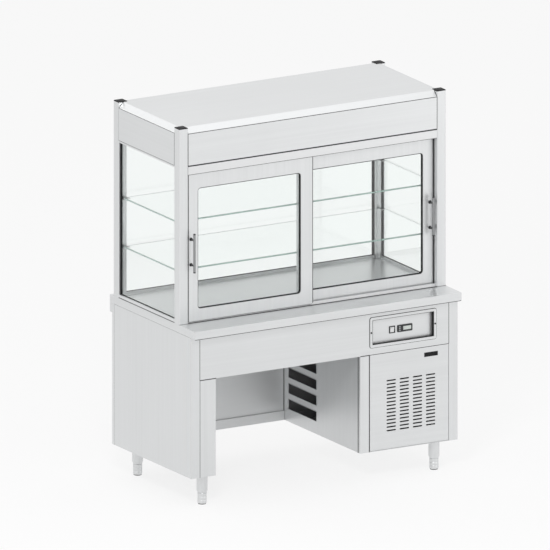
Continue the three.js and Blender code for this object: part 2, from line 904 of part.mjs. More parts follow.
// The square posts as plain prisms, a clearance larger, for notching what passes between them
function postNotches(z0, z1) {
  const notches = [];
  for (const side of [-1, 1]) {
    for (const [near, far] of [[caseFront, caseInnerFront], [caseInnerBack, caseBack]]) {
      const low = side < 0 ? -halfWidth : postInner;
      notches.push(block(
        [low - seatGap, near - seatGap, z0],
        [low + postSize + seatGap, far + seatGap, z1],
      ));
    }
  }
  return wasm.Manifold.union(notches);
}

// A square post about its own axis on z = 0, with a closed top and two shelf brackets; side and
// end say which corner it stands at, and a post with a pipe is slotted through its inner wall
function post(side, end, pipeHeight) {
  const half = postSize / 2;
  const wall = half - postWall;
  let solid = riseZ(roundedOutline(-half, -half, half, half, postCorner), 0, displayHeight);
  for (const height of shelfHeights) {
    const edges = [-side * wall, side * (bracketWidth - wall)].sort((a, b) => a - b);
    const reaches = [-end * (half - postWall), -end * (half + bracketReach)].sort((a, b) => a - b);
    solid = solid.add(block(
      [edges[0], reaches[0], height - bracketThickness],
      [edges[1], reaches[1], height],
    ));
  }
  solid = solid.subtract(block([-wall, -wall, -overrun], [wall, wall, displayHeight - postWall]));
  if (pipeHeight) {
    const reach = pipeRadius + pipeClearance;
    const edges = [0, -side * postSize].sort((a, b) => a - b);
    solid = solid.subtract(block(
      [edges[0], -end * pipePostShiftY - reach, pipeHeight - pipeBend],
      [edges[1], -end * pipePostShiftY + reach, pipeHeight + reach],
    ));
  }
  return solid;
}

// The roof: a shallow hipped pan between the fascias and its flat top, notched round the posts
function roof() {
  const hip = (inset) => {
    const rise = roofTop - fasciaTop;
    const across = (near, far) => outline([
      [near + inset, fasciaTop - (inset ? overrun : 0)],
      [far - inset, fasciaTop - (inset ? overrun : 0)],
      [far - inset, fasciaTop],
      [far - inset - roofInset, fasciaTop + rise - inset],
      [near + inset + roofInset, fasciaTop + rise - inset],
      [near + inset, fasciaTop],
    ]);
    const long = runY(across(-halfWidth, halfWidth), caseFront - overrun, caseBack + overrun);
    return long.intersect(runX(across(caseFront, caseBack), -halfWidth, halfWidth));
  };
  return hip(0).subtract(hip(topSheet)).subtract(postNotches(fasciaTop - overrun, displayHeight));
}

// An upper panel between two posts, its face on y = 0: a folded sheet, with a glazing channel
// under it where glass is set behind it
function upperPanel(length, glazed) {
  const half = length / 2 - seatGap;
  let solid = block([-half, 0, fasciaBottom], [half, fold, fasciaTop]);
  solid = solid.subtract(block(
    [-half - overrun, sheet, fasciaBottom + sheet],
    [half + overrun, fold + overrun, fasciaTop - sheet],
  ));
  if (glazed) {
    const near = sillFaceSetback;
    const far = glassRecess + glassThickness + seatGap + sillWall;
    solid = solid.add(block([-half, near, fasciaBottom - glassPocket], [half, far, fasciaBottom]));
    solid = solid.add(block([-half, near, fasciaBottom - overrun], [half, fold, fasciaBottom + sheet]));
    solid = solid.subtract(block(
      [-half - overrun, glassRecess - seatGap, fasciaBottom - glassPocket - overrun],
      [half + overrun, glassRecess + glassThickness + seatGap, fasciaBottom - sheet],
    ));
  }
  return solid;
}

const trackFront = caseFront;
const trackBack = caseFront + frontDoorSetback + doorPlanePitch + doorThickness + headerGap;

// Where a sliding door's front face lies: row 0 is the front door, row 1 the rear door
function doorFace(row) {
  return caseFront + frontDoorSetback + row * doorPlanePitch;
}

// The bottom track: a flat base with one rib under each door
function bottomTrack() {
  const reach = postInner - seatGap;
  let solid = block([-reach, trackFront, 0], [reach, trackBack, trackBase]);
  for (const row of [0, 1]) {
    const middle = doorFace(row) + doorThickness / 2;
    solid = solid.add(block(
      [-reach, middle - trackRibWidth / 2, 0],
      [reach, middle + trackRibWidth / 2, trackBase + trackRibHeight],
    ));
  }
  return solid;
}

// The header rail: a web with a front lip, a fin between the doors and a rear lip
function headerRail() {
  const reach = postInner - seatGap;
  const lips = [
    [trackFront, trackFront + trackLip],
    [doorFace(1) - doorPlaneGap - headerFin / 2, doorFace(1) - doorPlaneGap + headerFin / 2],
    [trackBack - trackLip, trackBack],
  ];
  let solid = block([-reach, trackFront, fasciaBottom - headerWeb], [reach, trackBack, fasciaBottom]);
  for (const [near, far] of lips) {
    solid = solid.add(block([-reach, near, headerBottom], [reach, far, fasciaBottom]));
  }
  return solid;
}

// A sliding door's hollow frame about its lower front left corner, its window between two stiles
function doorFrame(width, leftStile, rightStile) {
  const height = doorTop - doorBottom;
  const low = windowBottom - doorBottom;
  const high = windowTop - doorBottom;
  const window = (grow) => roundedOutline(
    leftStile - grow, low - grow, width - rightStile + grow, high + grow, windowCorner + grow,
  );
  const inner = doorThickness - doorWall;
  const middle = doorThickness / 2;
  const halfGroove = slidingGlass / 2 + seatGap;
  let solid = block([0, 0, 0], [width, doorThickness, height]);
  const cavity = block(
    [doorWall, doorWall, soleHeight],
    [width - doorWall, inner, height - doorWall],
  ).subtract(runY(window(glassSpace), 0, doorThickness));
  solid = solid.subtract(cavity);
  solid = solid.subtract(runY(window(0), -overrun, doorThickness + overrun));
  solid = solid.subtract(runY(window(glassSpace + seatGap), middle - halfGroove, middle + halfGroove));
  const rib = trackRibWidth / 2 + grooveClearance;
  return solid.subtract(block(
    [-overrun, middle - rib, -overrun],
    [width + overrun, middle + rib, trackBase + trackRibHeight - doorBottom + seatGap],
  ));
}

// The pane of a sliding door, about the same corner as its frame
function doorGlass(width, leftStile, rightStile) {
  const middle = doorThickness / 2;
  return runY(
    roundedOutline(
      leftStile - glassBite,
      windowBottom - doorBottom - glassBite,
      width - rightStile + glassBite,
      windowTop - doorBottom + glassBite,
      windowCorner + glassBite,
    ),
    middle - slidingGlass / 2,
    middle + slidingGlass / 2,
  );
}

// A bar handle about its middle, on y = 0 at the door's face: a bar on two standoffs
function barHandle() {
  const half = handleLength / 2;
  const chamfer = handleRadius - standoffRadius;
  let solid = turned([
    [0, -half],
    [handleRadius - chamfer, -half],
    [handleRadius, chamfer - half],
    [handleRadius, half - chamfer],
    [handleRadius - chamfer, half],
    [0, half],
  ], handleSteps).translate([0, -handleStandoff, 0]);
  for (const side of [-1, 1]) {
    const standoff = rod(standoffRadius, 0, handleStandoff, handleSteps).rotate([quarterTurn, 0, 0]);
    solid = solid.add(standoff.translate([0, 0, side * standoffPitch / 2]));
  }
  return solid;
}

// The display deck: a floor sheet with channels along both sides and the back for the fixed glass
function displayDeck() {
  const x = halfWidth - sillFaceSetback;
  const back = caseBack - sillFaceSetback;
  const groove = [glassRecess - seatGap, glassRecess + glassThickness + seatGap];
  const depth = groove[1] + sillWall;
  let solid = block([-x, trackBack + seatGap, 0], [x, back, deckThickness]);
  solid = solid.add(block([-x, caseBack - depth, 0], [x, back, sillHeight]));
  solid = solid.subtract(block(
    [-halfWidth, caseBack - groove[1], deckThickness],
    [halfWidth, caseBack - groove[0], sillHeight + overrun],
  ));
  for (const side of [-1, 1]) {
    const edges = (near, far) => [side * near, side * far].sort((a, b) => a - b);
    const [low, high] = edges(halfWidth - depth, x);
    solid = solid.add(block([low, caseInnerFront, 0], [high, caseInnerBack + seatGap, sillHeight]));
    const [grooveLow, grooveHigh] = edges(halfWidth - groove[1], halfWidth - groove[0]);
    solid = solid.subtract(block(
      [grooveLow, caseFront, deckThickness],
      [grooveHigh, caseBack, sillHeight + overrun],
    ));
  }
  return solid.subtract(postNotches(-overrun, displayHeight));
}

// A fixed pane on its channel, its outer face on y = 0
function fixedGlass(length) {
  const half = length / 2 - seatGap;
  return block(
    [-half, 0, deckThickness + seatGap],
    [half, glassThickness, fasciaBottom - sheet - seatGap],
  );
}

// A glass shelf on z = 0, about the middle of the case's width
function shelf() {
  const x = halfWidth - glassRecess - glassThickness - shelfSideGap;
  const near = caseInnerFront + shelfEndGap;
  const far = caseInnerBack - shelfEndGap;
  return riseZ(roundedOutline(-x, near, x, far, postCorner), 0, shelfThickness);
}

// The ceiling panel over the display, on z = 0, with the fan's opening and a row of return slots
function ceilingPanel() {
  const x = halfWidth - sheet - ceilingGap;
  const low = caseFront + sheet + ceilingGap;
  const high = caseBack - sheet - ceilingGap;
  let solid = block([-x, low, 0], [x, high, ceilingSheet]);
  solid = solid.subtract(postNotches(-overrun, displayHeight));
  const opening = rod(ceilingOpening, -overrun, ceilingSheet + overrun, fanSteps);
  solid = solid.subtract(opening.translate([evaporatorFanX, evaporatorFanY, 0]));
  const coilY = caseBack - coilBackGap - coilDepth / 2;
  for (let index = 0; index < ceilingSlots; index += 1) {
    const slotX = coilX + (index - (ceilingSlots - 1) / 2) * ceilingSlotPitch;
    solid = solid.subtract(block(
      [slotX - ceilingSlotWidth / 2, coilY - ceilingSlotLength / 2, -overrun],
      [slotX + ceilingSlotWidth / 2, coilY + ceilingSlotLength / 2, ceilingSheet + overrun],
    ));
  }
  const mount = motorMount(ceilingOpening, ceilingSheet / 2);
  return solid.add(mount.translate([evaporatorFanX, evaporatorFanY, 0]));
}

const whole = new THREE.Group();
const counter = new THREE.Group();
const display = new THREE.Group();
display.position.z = counterHeight;
const unit = new THREE.Group();
unit.position.z = floorClearance + legPlateHeight;
whole.add(counter, display, unit);

// The counter base
const pipeX = stripInner + postSize / 2 - pipePostShiftX;
const pipeY = caseBack - postSize / 2 - pipePostShiftY;
const pipeHole = rod(pipeRadius + pipeClearance, baseTop - overrun, counterHeight + overrun, pinSteps);
piece(counter, 'worktop', worktop().subtract(pipeHole.translate([pipeX, pipeY, 0])), satin);
piece(counter, 'side_panel_left', sidePanel(-1), satin);
piece(counter, 'side_panel_right', sidePanel(1), satin);
piece(counter, 'apron', apron(), satin);
piece(counter, 'customer_panel', customerPanel(), satin);
piece(counter, 'knee_lining', kneeLining(), satin);
piece(counter, 'compartment_jamb', compartmentJamb(), satin);
piece(counter, 'compartment_side', compartmentSide(), satin);
piece(counter, 'compartment_floor', compartmentFloor(), satin);
piece(counter, 'grille_door', grilleDoor(), satin);
piece(counter, 'door_pivot_lower', doorPivot(), satin, [
  pivotX, pivotY, floorClearance + legPlateHeight,
]);
const upperPivot = piece(counter, 'door_pivot_upper', doorPivot(), satin, [
  pivotX, pivotY, apronBottom,
]);
upperPivot.rotation.x = Math.PI;
for (const [end, endName] of [[-1, 'front'], [1, 'back']]) {
  for (const [side, sideName] of [[-1, 'left'], [1, 'right']]) {
    const x = side * (halfWidth - legInsetX);
    const y = end * (counterDepth / 2 - legInsetY);
    piece(counter, `leg_${endName}_${sideName}`, legTube(), satin, [x, y, floorClearance]);
    piece(counter, `foot_${endName}_${sideName}`, foot(), satin, [x, y, 0]);
  }
}

// The control panel
const controls = new THREE.Group();
controls.position.set(bezelCentreX, baseFront, counterHeight - bezelCentreDrop);
counter.add(controls);
const controlPlace = (shift) => [shift, bezelDepth, -controlDrop];
piece(controls, 'control_bezel', controlBezel(), satin);
piece(controls, 'switch_body', switchBody(), blackPlastic, controlPlace(switchShift));
const [rockerX, rockerY, rockerZ] = controlPlace(switchShift);
const rocker = piece(controls, 'switch_rocker', switchRocker(), palePlastic, [
  rockerX, rockerY + rockerPivot, rockerZ,
]);
rocker.rotation.x = THREE.MathUtils.degToRad(rockerTilt);
const [thermoX, thermoY, thermoZ] = controlPlace(thermostatShift);
piece(controls, 'thermostat_body', thermostatBody(), blackPlastic, [thermoX, thermoY, thermoZ]);
const windowSolid = block(
  [-windowWidth / 2, 0, -windowHeight / 2],
  [windowWidth / 2, windowDepth, windowHeight / 2],
);
piece(controls, 'thermostat_window', windowSolid, paleWindow, [
  thermoX + windowShift, thermoY - thermostatProud, thermoZ,
]);
for (let index = 0; index < keyCount; index += 1) {
  const [keyX, keyZ] = keyPlace(index);
  piece(controls, `thermostat_key_${index + 1}`, thermostatKey(), greyPlastic, [
    thermoX + keyX, thermoY, thermoZ + keyZ,
  ]);
}

// The refrigeration unit on the compartment floor
piece(unit, 'compressor', compressor(), blackPaint, [compressorX, compressorY, 0]);
const condenserFront = baseFront + condenserSetback;
const condenserMiddle = condenserFront + condenserDepth / 2;
piece(unit, 'condenser', finnedBlock(condenserWidth, condenserDepth, condenserHeight, condenserFins),
  blackPaint, [condenserX, condenserMiddle, 0]);
const fanAxis = new THREE.Group();
fanAxis.position.set(
  condenserX,
  condenserFront + condenserDepth + shroudDepth - shroudPlate,
  condenserHeight / 2,
);
fanAxis.rotation.x = -Math.PI / 2;
unit.add(fanAxis);
piece(fanAxis, 'fan_shroud', fanShroud(), blackPaint);
piece(fanAxis, 'condenser_fan', fanRotor(condenserFanTip), aluminium);
piece(unit, 'evaporating_tray', evaporatingTray(), greyPlastic, [trayX, trayY, 0]);

// The display case
for (const [end, endName] of [[-1, 'front'], [1, 'back']]) {
  for (const [side, sideName] of [[-1, 'left'], [1, 'right']]) {
    const y = end < 0 ? caseFront + postSize / 2 : caseBack - postSize / 2;
    const x = side * (postInner + postSize / 2);
    const piped = end > 0 && side > 0;
    const pipeHeight = piped ? fasciaBottom + pipeHighHeight : 0;
    piece(display, `post_${endName}_${sideName}`, post(side, end, pipeHeight), satin, [x, y, 0]);
  }
}
piece(display, 'roof', roof(), satin);
const frontLength = 2 * postInner;
const sideLength = displayDepth - 2 * postSize;
const caseMiddleY = (caseFront + caseBack) / 2;
piece(display, 'fascia_front', upperPanel(frontLength, false), satin, [0, caseFront, 0]);
const fasciaBack = piece(display, 'fascia_back', upperPanel(frontLength, true), satin, [0, caseBack, 0]);
fasciaBack.rotation.z = Math.PI;
const customerGlass = piece(display, 'customer_glass', fixedGlass(frontLength), clearGlass, [
  0, caseBack - glassRecess, 0,
]);
customerGlass.rotation.z = Math.PI;
for (const [side, sideName] of [[-1, 'left'], [1, 'right']]) {
  const panel = piece(display, `side_fascia_${sideName}`, upperPanel(sideLength, true), satin, [
    side * halfWidth, caseMiddleY, 0,
  ]);
  panel.rotation.z = side * Math.PI / 2;
  const pane = piece(display, `side_glass_${sideName}`, fixedGlass(sideLength), clearGlass, [
    side * (halfWidth - glassRecess), caseMiddleY, 0,
  ]);
  pane.rotation.z = side * Math.PI / 2;
}
piece(display, 'display_deck', displayDeck(), satin);
piece(display, 'bottom_track', bottomTrack(), aluminium);
piece(display, 'header_rail', headerRail(), aluminium);
piece(display, 'shelf_lower', shelf(), clearGlass, [0, 0, shelfHeights[0]]);
piece(display, 'shelf_upper', shelf(), clearGlass, [0, 0, shelfHeights[1]]);

// The two bypass doors, each a frame, a pane and a handle
const meetingLeft = meetingX - meetingStile;
const slidingDoors = [
  ['left', 0, -postInner, meetingX, stileWidth, meetingStile, -postInner + handleInset],
  ['right', 1, meetingLeft, postInner, stileWidth, stileWidth, postInner - handleInset],
];
for (const [name, row, low, high, leftStile, rightStile, handleX] of slidingDoors) {
  const door = new THREE.Group();
  door.position.set(low + (low === -postInner ? seatGap : 0), doorFace(row), doorBottom);
  display.add(door);
  const width = high - low - seatGap;
  piece(door, `sliding_door_${name}`, doorFrame(width, leftStile, rightStile), satin);
  piece(door, `door_glass_${name}`, doorGlass(width, leftStile, rightStile), clearGlass);
  piece(door, `door_handle_${name}`, barHandle(), satin, [
    handleX - door.position.x, 0, handleCentre - doorBottom,
  ]);
}

// The evaporator unit over the ceiling
const ceilingBottom = fasciaBottom + sheet;
const ceilingTop = ceilingBottom + ceilingSheet;
piece(display, 'ceiling_panel', ceilingPanel(), satin, [0, 0, ceilingBottom]);
const coilY = caseBack - coilBackGap - coilDepth / 2;
piece(display, 'evaporator_coil', finnedBlock(coilWidth, coilDepth, coilHeight, coilFins),
  coilMetal, [coilX, coilY, ceilingTop]);
piece(display, 'evaporator_fan', fanRotor(evaporatorFanTip), aluminium, [
  evaporatorFanX, evaporatorFanY, ceilingBottom,
]);

// The refrigerant line from the compressor, up inside the rear right post, to the evaporator
const pipeLow = floorClearance + legPlateHeight + pipeLowHeight;
const pipeHigh = counterHeight + fasciaBottom + pipeHighHeight;
piece(whole, 'refrigerant_line', pipeRun([
  [compressorX + compressorRadius + seatGap, compressorY, pipeLow],
  [pipeX, compressorY, pipeLow],
  [pipeX, pipeY, pipeLow],
  [pipeX, pipeY, pipeHigh],
  [coilX + coilWidth / 2 + seatGap, pipeY, pipeHigh],
]), copper);

export default whole;
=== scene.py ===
"""A refrigerated self-service display on a stainless counter base, dressed for its looks.

Every shape is in metres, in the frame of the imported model: +X to the operator's right, +Y towards
the customer side, +Z up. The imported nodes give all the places, and this script adds the finish.
"""

import json
import math

import bmesh
import bpy
from mathutils import Matrix, Vector


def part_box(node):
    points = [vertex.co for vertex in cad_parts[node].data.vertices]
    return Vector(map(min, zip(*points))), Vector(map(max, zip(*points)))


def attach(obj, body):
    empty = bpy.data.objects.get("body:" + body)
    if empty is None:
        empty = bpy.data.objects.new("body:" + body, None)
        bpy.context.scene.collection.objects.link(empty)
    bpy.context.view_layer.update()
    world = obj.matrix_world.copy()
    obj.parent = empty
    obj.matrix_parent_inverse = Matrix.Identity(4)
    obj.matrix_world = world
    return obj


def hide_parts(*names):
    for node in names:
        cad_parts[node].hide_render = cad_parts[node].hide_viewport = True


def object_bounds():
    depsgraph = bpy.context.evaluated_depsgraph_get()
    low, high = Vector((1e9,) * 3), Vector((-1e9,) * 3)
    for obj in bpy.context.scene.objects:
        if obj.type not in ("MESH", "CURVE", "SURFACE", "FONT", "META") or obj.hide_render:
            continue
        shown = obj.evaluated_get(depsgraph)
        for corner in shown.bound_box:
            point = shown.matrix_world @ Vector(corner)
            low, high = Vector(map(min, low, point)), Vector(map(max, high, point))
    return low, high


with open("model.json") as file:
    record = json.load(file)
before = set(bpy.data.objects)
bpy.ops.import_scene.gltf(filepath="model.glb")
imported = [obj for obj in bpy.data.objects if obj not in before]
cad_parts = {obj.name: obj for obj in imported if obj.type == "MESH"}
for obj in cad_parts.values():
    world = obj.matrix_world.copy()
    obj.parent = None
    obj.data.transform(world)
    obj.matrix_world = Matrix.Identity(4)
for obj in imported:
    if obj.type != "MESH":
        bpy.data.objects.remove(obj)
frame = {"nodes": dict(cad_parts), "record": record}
CAD_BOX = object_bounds()
NODES = frame["nodes"]
BODIES = frame["record"]["behaviour"]["bodies"]
BODY_OF = {node: body for body, nodes in BODIES.items() for node in nodes}
CORNERS = ("front_left", "front_right", "back_left", "back_right")

# The camera: an orthographic view from the operator's left, a little above
AZIMUTH = math.radians(-30)
ELEVATION = math.radians(15)
VIEW_WIDTH = 2.679
VIEW_CENTRE = (-0.0523, 0.9583)
CAMERA_DISTANCE = 7.0
CAMERA_REACH = 60

# Stage and light: each lamp's name, place, aim, size in metres and power in watts
FLOOR_SIZE = 60.0
FLOOR_COLOUR = (0.93, 0.93, 0.93)
WORLD_COLOUR = (1.0, 1.0, 1.0, 1)
WORLD_STRENGTH = 0.7
WORLD_SEEN = 1.0
FLOOR_GLOW = 0.8
AIM = (0, 0, 0.9)
LIGHTS = (
    ("key", (-3.3, -4.1, 4.5), AIM, (1.3, 1.3), 118.0),
    ("fill", (4.4, -5.0, 1.6), AIM, (3.0, 2.4), 22.0),
    ("top", (1.2, -0.6, 5.4), AIM, (3.6, 3.6), 16.0),
    ("back", (-2.6, 5.4, 5.0), AIM, (3.0, 2.4), 12.0),
)

# Finish of folded sheet
FOLD_RADIUS = 0.0016
FOLD_STEPS = 3
FOLD_MIN_FACE = 0.005
FLAT_LIMIT = math.radians(0.5)
EDGE_ANGLE = math.radians(40)
MERGE = 0.00002
ROUND_STEPS = 64
SMOOTH_ANGLE = math.radians(35)
POST_SIDE = 0.05
POST_CORNER = 0.004


def corners(node):
    """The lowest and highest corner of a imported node, as vectors."""
    low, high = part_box(node)
    return Vector(low), Vector(high)


def post_square(corner):
    """The lowest and highest corner of a post's square tube, without its shelf brackets."""
    low, high = corners("post_" + corner)
    for axis, at_low in ((0, corner.endswith("left")), (1, corner.startswith("front"))):
        if at_low:
            high[axis] = low[axis] + POST_SIDE
        else:
            low[axis] = high[axis] - POST_SIDE
    return low, high


def centre_of(node):
    """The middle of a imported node's box."""
    low, high = corners(node)
    return (low + high) / 2


# Camera and stage


def make_camera():
    camera = bpy.data.objects.new("camera", bpy.data.cameras.new("camera"))
    bpy.context.scene.collection.objects.link(camera)
    camera.data.type = "ORTHO"
    camera.data.ortho_scale = VIEW_WIDTH
    turn = Matrix.Rotation(AZIMUTH, 4, "Z") @ Matrix.Rotation(math.radians(90) - ELEVATION, 4, "X")
    camera.matrix_world = turn @ Matrix.Translation((*VIEW_CENTRE, CAMERA_DISTANCE))
    camera.data.clip_end = CAMERA_REACH
    bpy.context.scene.camera = camera


def make_area_light(name, place, aim, size, power):
    lamp = bpy.data.lights.new(name, "AREA")
    lamp.shape = "RECTANGLE"
    lamp.size, lamp.size_y = size
    lamp.energy = power
    light = bpy.data.objects.new(name, lamp)
    bpy.context.scene.collection.objects.link(light)
    light.location = place
    light.rotation_euler = (Vector(aim) - Vector(place)).to_track_quat("-Z", "Y").to_euler()


def set_sockets(tree, node, sockets):
    """Gives a node's inputs their constants, or links from other nodes' outputs."""
    for key, value in sockets.items():
        if isinstance(value, bpy.types.NodeSocket):
            tree.links.new(value, node.inputs[key])
        else:
            node.inputs[key].default_value = value


def node_output(tree, kind, output, sockets=None, **settings):
    """The named output of a new node."""
    node = tree.nodes.new(kind)
    for key, value in settings.items():
        setattr(node, key, value)
    set_sockets(tree, node, sockets or {})
    return node.outputs[output]


def seen_rays(tree):
    """The output that is 1 for rays that show the studio: direct, mirrored or through glass."""
    path = tree.nodes.new("ShaderNodeLightPath").outputs
    seen = path["Is Camera Ray"]
    for kind in ("Is Glossy Ray", "Is Transmission Ray"):
        pair = {0: seen, 1: path[kind]}
        seen = node_output(tree, "ShaderNodeMath", "Value", pair, operation="MAXIMUM")
    return seen


def make_world():
    world = bpy.data.worlds.new("studio")
    bpy.context.scene.world = world
    world.use_nodes = True
    tree = world.node_tree
    level = node_output(tree, "ShaderNodeMapRange", "Result", {
        "Value": seen_rays(tree), "To Min": WORLD_STRENGTH, "To Max": WORLD_SEEN,
    })
    background = tree.nodes["Background"]
    set_sockets(tree, background, {"Color": WORLD_COLOUR, "Strength": level})


def make_floor():
    shape = bmesh.new()
    bmesh.ops.create_grid(shape, x_segments=1, y_segments=1, size=FLOOR_SIZE / 2)
    floor = object_from(shape, "floor")
    floor.data.materials.append(floor_finish())


# Mesh helpers


def weld(shape, distance=MERGE):
    bmesh.ops.remove_doubles(shape, verts=shape.verts[:], dist=distance)


def face_outwards(shape):
    bmesh.ops.recalc_face_normals(shape, faces=shape.faces[:])


def sweep(shape, parts, angle, steps):
    """Spins edges about the Z axis into faces, welded where a full turn meets itself."""
    bmesh.ops.spin(
        shape, geom=parts, cent=(0, 0, 0), axis=(0, 0, 1), angle=angle, steps=steps,
        use_merge=angle == math.tau, use_duplicate=False,
    )
    weld(shape, MERGE / 4)


def object_from(shape, name, smooth=False):
    """A finished bmesh as a linked object; its faces are turned outwards by the caller."""
    mesh = bpy.data.meshes.new(name)
    shape.to_mesh(mesh)
    shape.free()
    packed_normals = mesh.attributes.get("custom_normal")
    if packed_normals:
        mesh.attributes.remove(packed_normals)
    thing = bpy.data.objects.new(name, mesh)
    bpy.context.scene.collection.objects.link(thing)
    if smooth:
        mesh.polygons.foreach_set("use_smooth", [True] * len(mesh.polygons))
        mesh.set_sharp_from_angle(angle=SMOOTH_ANGLE)
    return thing


def fit(thing, material, body="cabinet"):
    """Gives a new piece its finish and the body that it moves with."""
    thing.data.materials.clear()
    thing.data.materials.append(material)
    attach(thing, body)


def stand_for(thing, material, node):
    """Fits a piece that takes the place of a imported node."""
    fit(thing, material, BODY_OF[node])
    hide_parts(node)


def round_edges(shape, edges, radius, segments, slide=False):
    """Rounds some edges of a bmesh."""
    bmesh.ops.bevel(
        shape, geom=edges, offset=radius, offset_type="OFFSET", segments=segments, profile=0.5,
        affect="EDGES", clamp_overlap=True, material=-1, loop_slide=slide,
    )


def joined(name, things, smooth=True):
    """Several loose objects as one mesh object."""
    shape = bmesh.new()
    for thing in things:
        old = thing.data
        shape.from_mesh(old)
        bpy.data.objects.remove(thing)
        bpy.data.meshes.remove(old)
    return object_from(shape, name, smooth)


def second_finish(thing, material, chosen):
    """Gives the faces whose normal passes a test another material."""
    thing.data.materials.append(material)
    for polygon in thing.data.polygons:
        polygon.material_index = 1 if chosen(polygon.normal) else 0


def is_fold(edge):
    """Whether an edge is convex, sharp and long beside faces that are broad enough to round."""
    if len(edge.link_faces) != 2 or not edge.is_convex or edge.calc_face_angle(0) < EDGE_ANGLE:
        return False
    length = edge.calc_length()
    return length > 0 and all(
        face.calc_area() / length > FOLD_MIN_FACE for face in edge.link_faces
    )


def folded(node, material, radius=FOLD_RADIUS, smooth=True, top=None):
    """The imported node's own shape with its broad convex folds rounded as a press brake leaves them.

    Where a top is given, the shape is cut off at that height, to take a cap.
    """
    shape = bmesh.new()
    shape.from_mesh(NODES[node].data)
    weld(shape)
    bmesh.ops.dissolve_limit(
        shape, angle_limit=FLAT_LIMIT, verts=shape.verts[:], edges=shape.edges[:]
    )
    if top:
        bmesh.ops.bisect_plane(
            shape, geom=shape.verts[:] + shape.edges[:] + shape.faces[:], dist=MERGE,
            plane_co=(0, 0, top), plane_no=(0, 0, 1), clear_outer=True,
        )
        bmesh.ops.bridge_loops(shape, edges=[edge for edge in shape.edges if edge.is_boundary])
    face_outwards(shape)
    for face in shape.faces:
        face.smooth = False
    chosen = [edge for edge in shape.edges if is_fold(edge)]
    if chosen:
        round_edges(shape, chosen, radius, FOLD_STEPS, slide=True)
        bmesh.ops.dissolve_degenerate(shape, dist=MERGE / 4, edges=shape.edges[:])
    skin = object_from(shape, node + "_skin", smooth)
    if smooth:
        skin.modifiers.new("even_shading", "WEIGHTED_NORMAL").keep_sharp = True
    stand_for(skin, material, node)
    return skin


def spun(name, profile, centre, steps=ROUND_STEPS, axis="Z"):
    """A turned piece: (radius, height) points from the axis to the axis, spun about an axis."""
    shape = bmesh.new()
    points = [shape.verts.new((radius, 0, height)) for radius, height in profile]
    edges = [shape.edges.new(pair) for pair in zip(points, points[1:])]
    sweep(shape, points + edges, math.tau, steps)
    turns = {"Z": Matrix.Identity(4), "Y": Matrix.Rotation(math.radians(90), 4, "X"),
             "X": Matrix.Rotation(math.radians(90), 4, "Y")}
    place = Matrix.Translation(centre) @ turns[axis]
    bmesh.ops.transform(shape, matrix=place, verts=shape.verts[:])
    face_outwards(shape)
    return object_from(shape, name, smooth=True)


def arc_points(centre_radius, centre_height, radius, start, end, steps=5):
    """Points of a round corner in a turned profile, from start to end in degrees."""
    angles = [math.radians(start + (end - start) * step / steps) for step in range(steps + 1)]
    return [
        (centre_radius + radius * math.cos(a), centre_height + radius * math.sin(a)) for a in angles
    ]


def slab(name, low, high, radius, segments=3):
    """A block between two corners with all its edges rounded."""
    shape = bmesh.new()
    low, high = Vector(low), Vector(high)
    place = Matrix.LocRotScale((low + high) / 2, None, high - low)
    bmesh.ops.create_cube(shape, size=1, matrix=place)
    if radius:
        round_edges(shape, shape.edges[:], radius, segments)
    return object_from(shape, name)


def softened_rod(name, centre, radius, low, high, softening, axis="Z", steps=ROUND_STEPS):
    """A straight rod with rounded rims; low and high lie along the axis from the centre."""
    profile = [(0, low)]
    profile += arc_points(radius - softening, low + softening, softening, -90, 0)
    profile += arc_points(radius - softening, high - softening, softening, 0, 90)
    profile += [(0, high)]
    return spun(name, profile, centre, steps, axis)


def bent_rod(name, rod_radius, bend_radius, angle, steps, segments, place):
    """A round rod bent to an arc about Z from +X on, open ends capped, then put in its place."""
    shape = bmesh.new()
    ring = bmesh.ops.create_circle(shape, segments=segments, radius=rod_radius)["verts"]
    start = Matrix.Translation((bend_radius, 0, 0)) @ Matrix.Rotation(math.radians(90), 4, "X")
    bmesh.ops.transform(shape, matrix=start, verts=ring)
    sweep(shape, ring + shape.edges[:], angle, steps)
    bmesh.ops.holes_fill(shape, edges=shape.edges[:], sides=0)
    bmesh.ops.transform(shape, matrix=place, verts=shape.verts[:])
    face_outwards(shape)
    return object_from(shape, name, smooth=True)


def rounded_points(left, bottom, right, top, radius, steps=8):
    """The points of a rectangle with round corners, counter-clockwise in a plane."""
    points = []
    quarters = ((right, bottom, -90), (right, top, 0), (left, top, 90), (left, bottom, 180))
    for x, z, start in quarters:
        centre_x = x - radius if x == right else x + radius
        centre_z = z - radius if z == top else z + radius
        points += arc_points(centre_x, centre_z, radius, start, start + 90, steps)
    return points


def grown(sides, by):
    """A rectangle's left, bottom, right and top, each moved outwards."""
    left, bottom, right, top = sides
    return left - by, bottom - by, right + by, top + by


def frame_ring(name, outer, inner, y0, y1):
    """A flat ring between two rounded outlines in X and Z, from depth y0 to y1."""
    shape = bmesh.new()
    loops = []
    for y in (y0, y1):
        for points in (outer, inner):
            ring = [shape.verts.new((x, y, z)) for x, z in points]
            loops.append([shape.edges.new((a, b)) for a, b in zip(ring, ring[1:] + ring[:1])])
    for first, second in ((0, 1), (2, 3), (0, 2), (1, 3)):
        bmesh.ops.bridge_loops(shape, edges=loops[first] + loops[second])
    face_outwards(shape)
    return object_from(shape, name)


# Finishes, all on object coordinates in metres

# Noise scales per metre: streaks are stretched along the grain
STREAK_LENGTH = 1.6
STREAK_FINE = 700.0
STREAK_BROAD = 60.0
CLOUD_SIZE = 2.2
NOISE_SPAN = (0.3, 0.7)
GLASS_IOR = 1.5
GLASS_FILM = 0.02
GRAIN_STEEL = (0.72, 0.73, 0.735)
GRAIN_ALUMINIUM = (0.74, 0.745, 0.75)
GRAIN_HANDLE = (0.3, 0.305, 0.31)
BRUSHED_METALLIC = 0.8


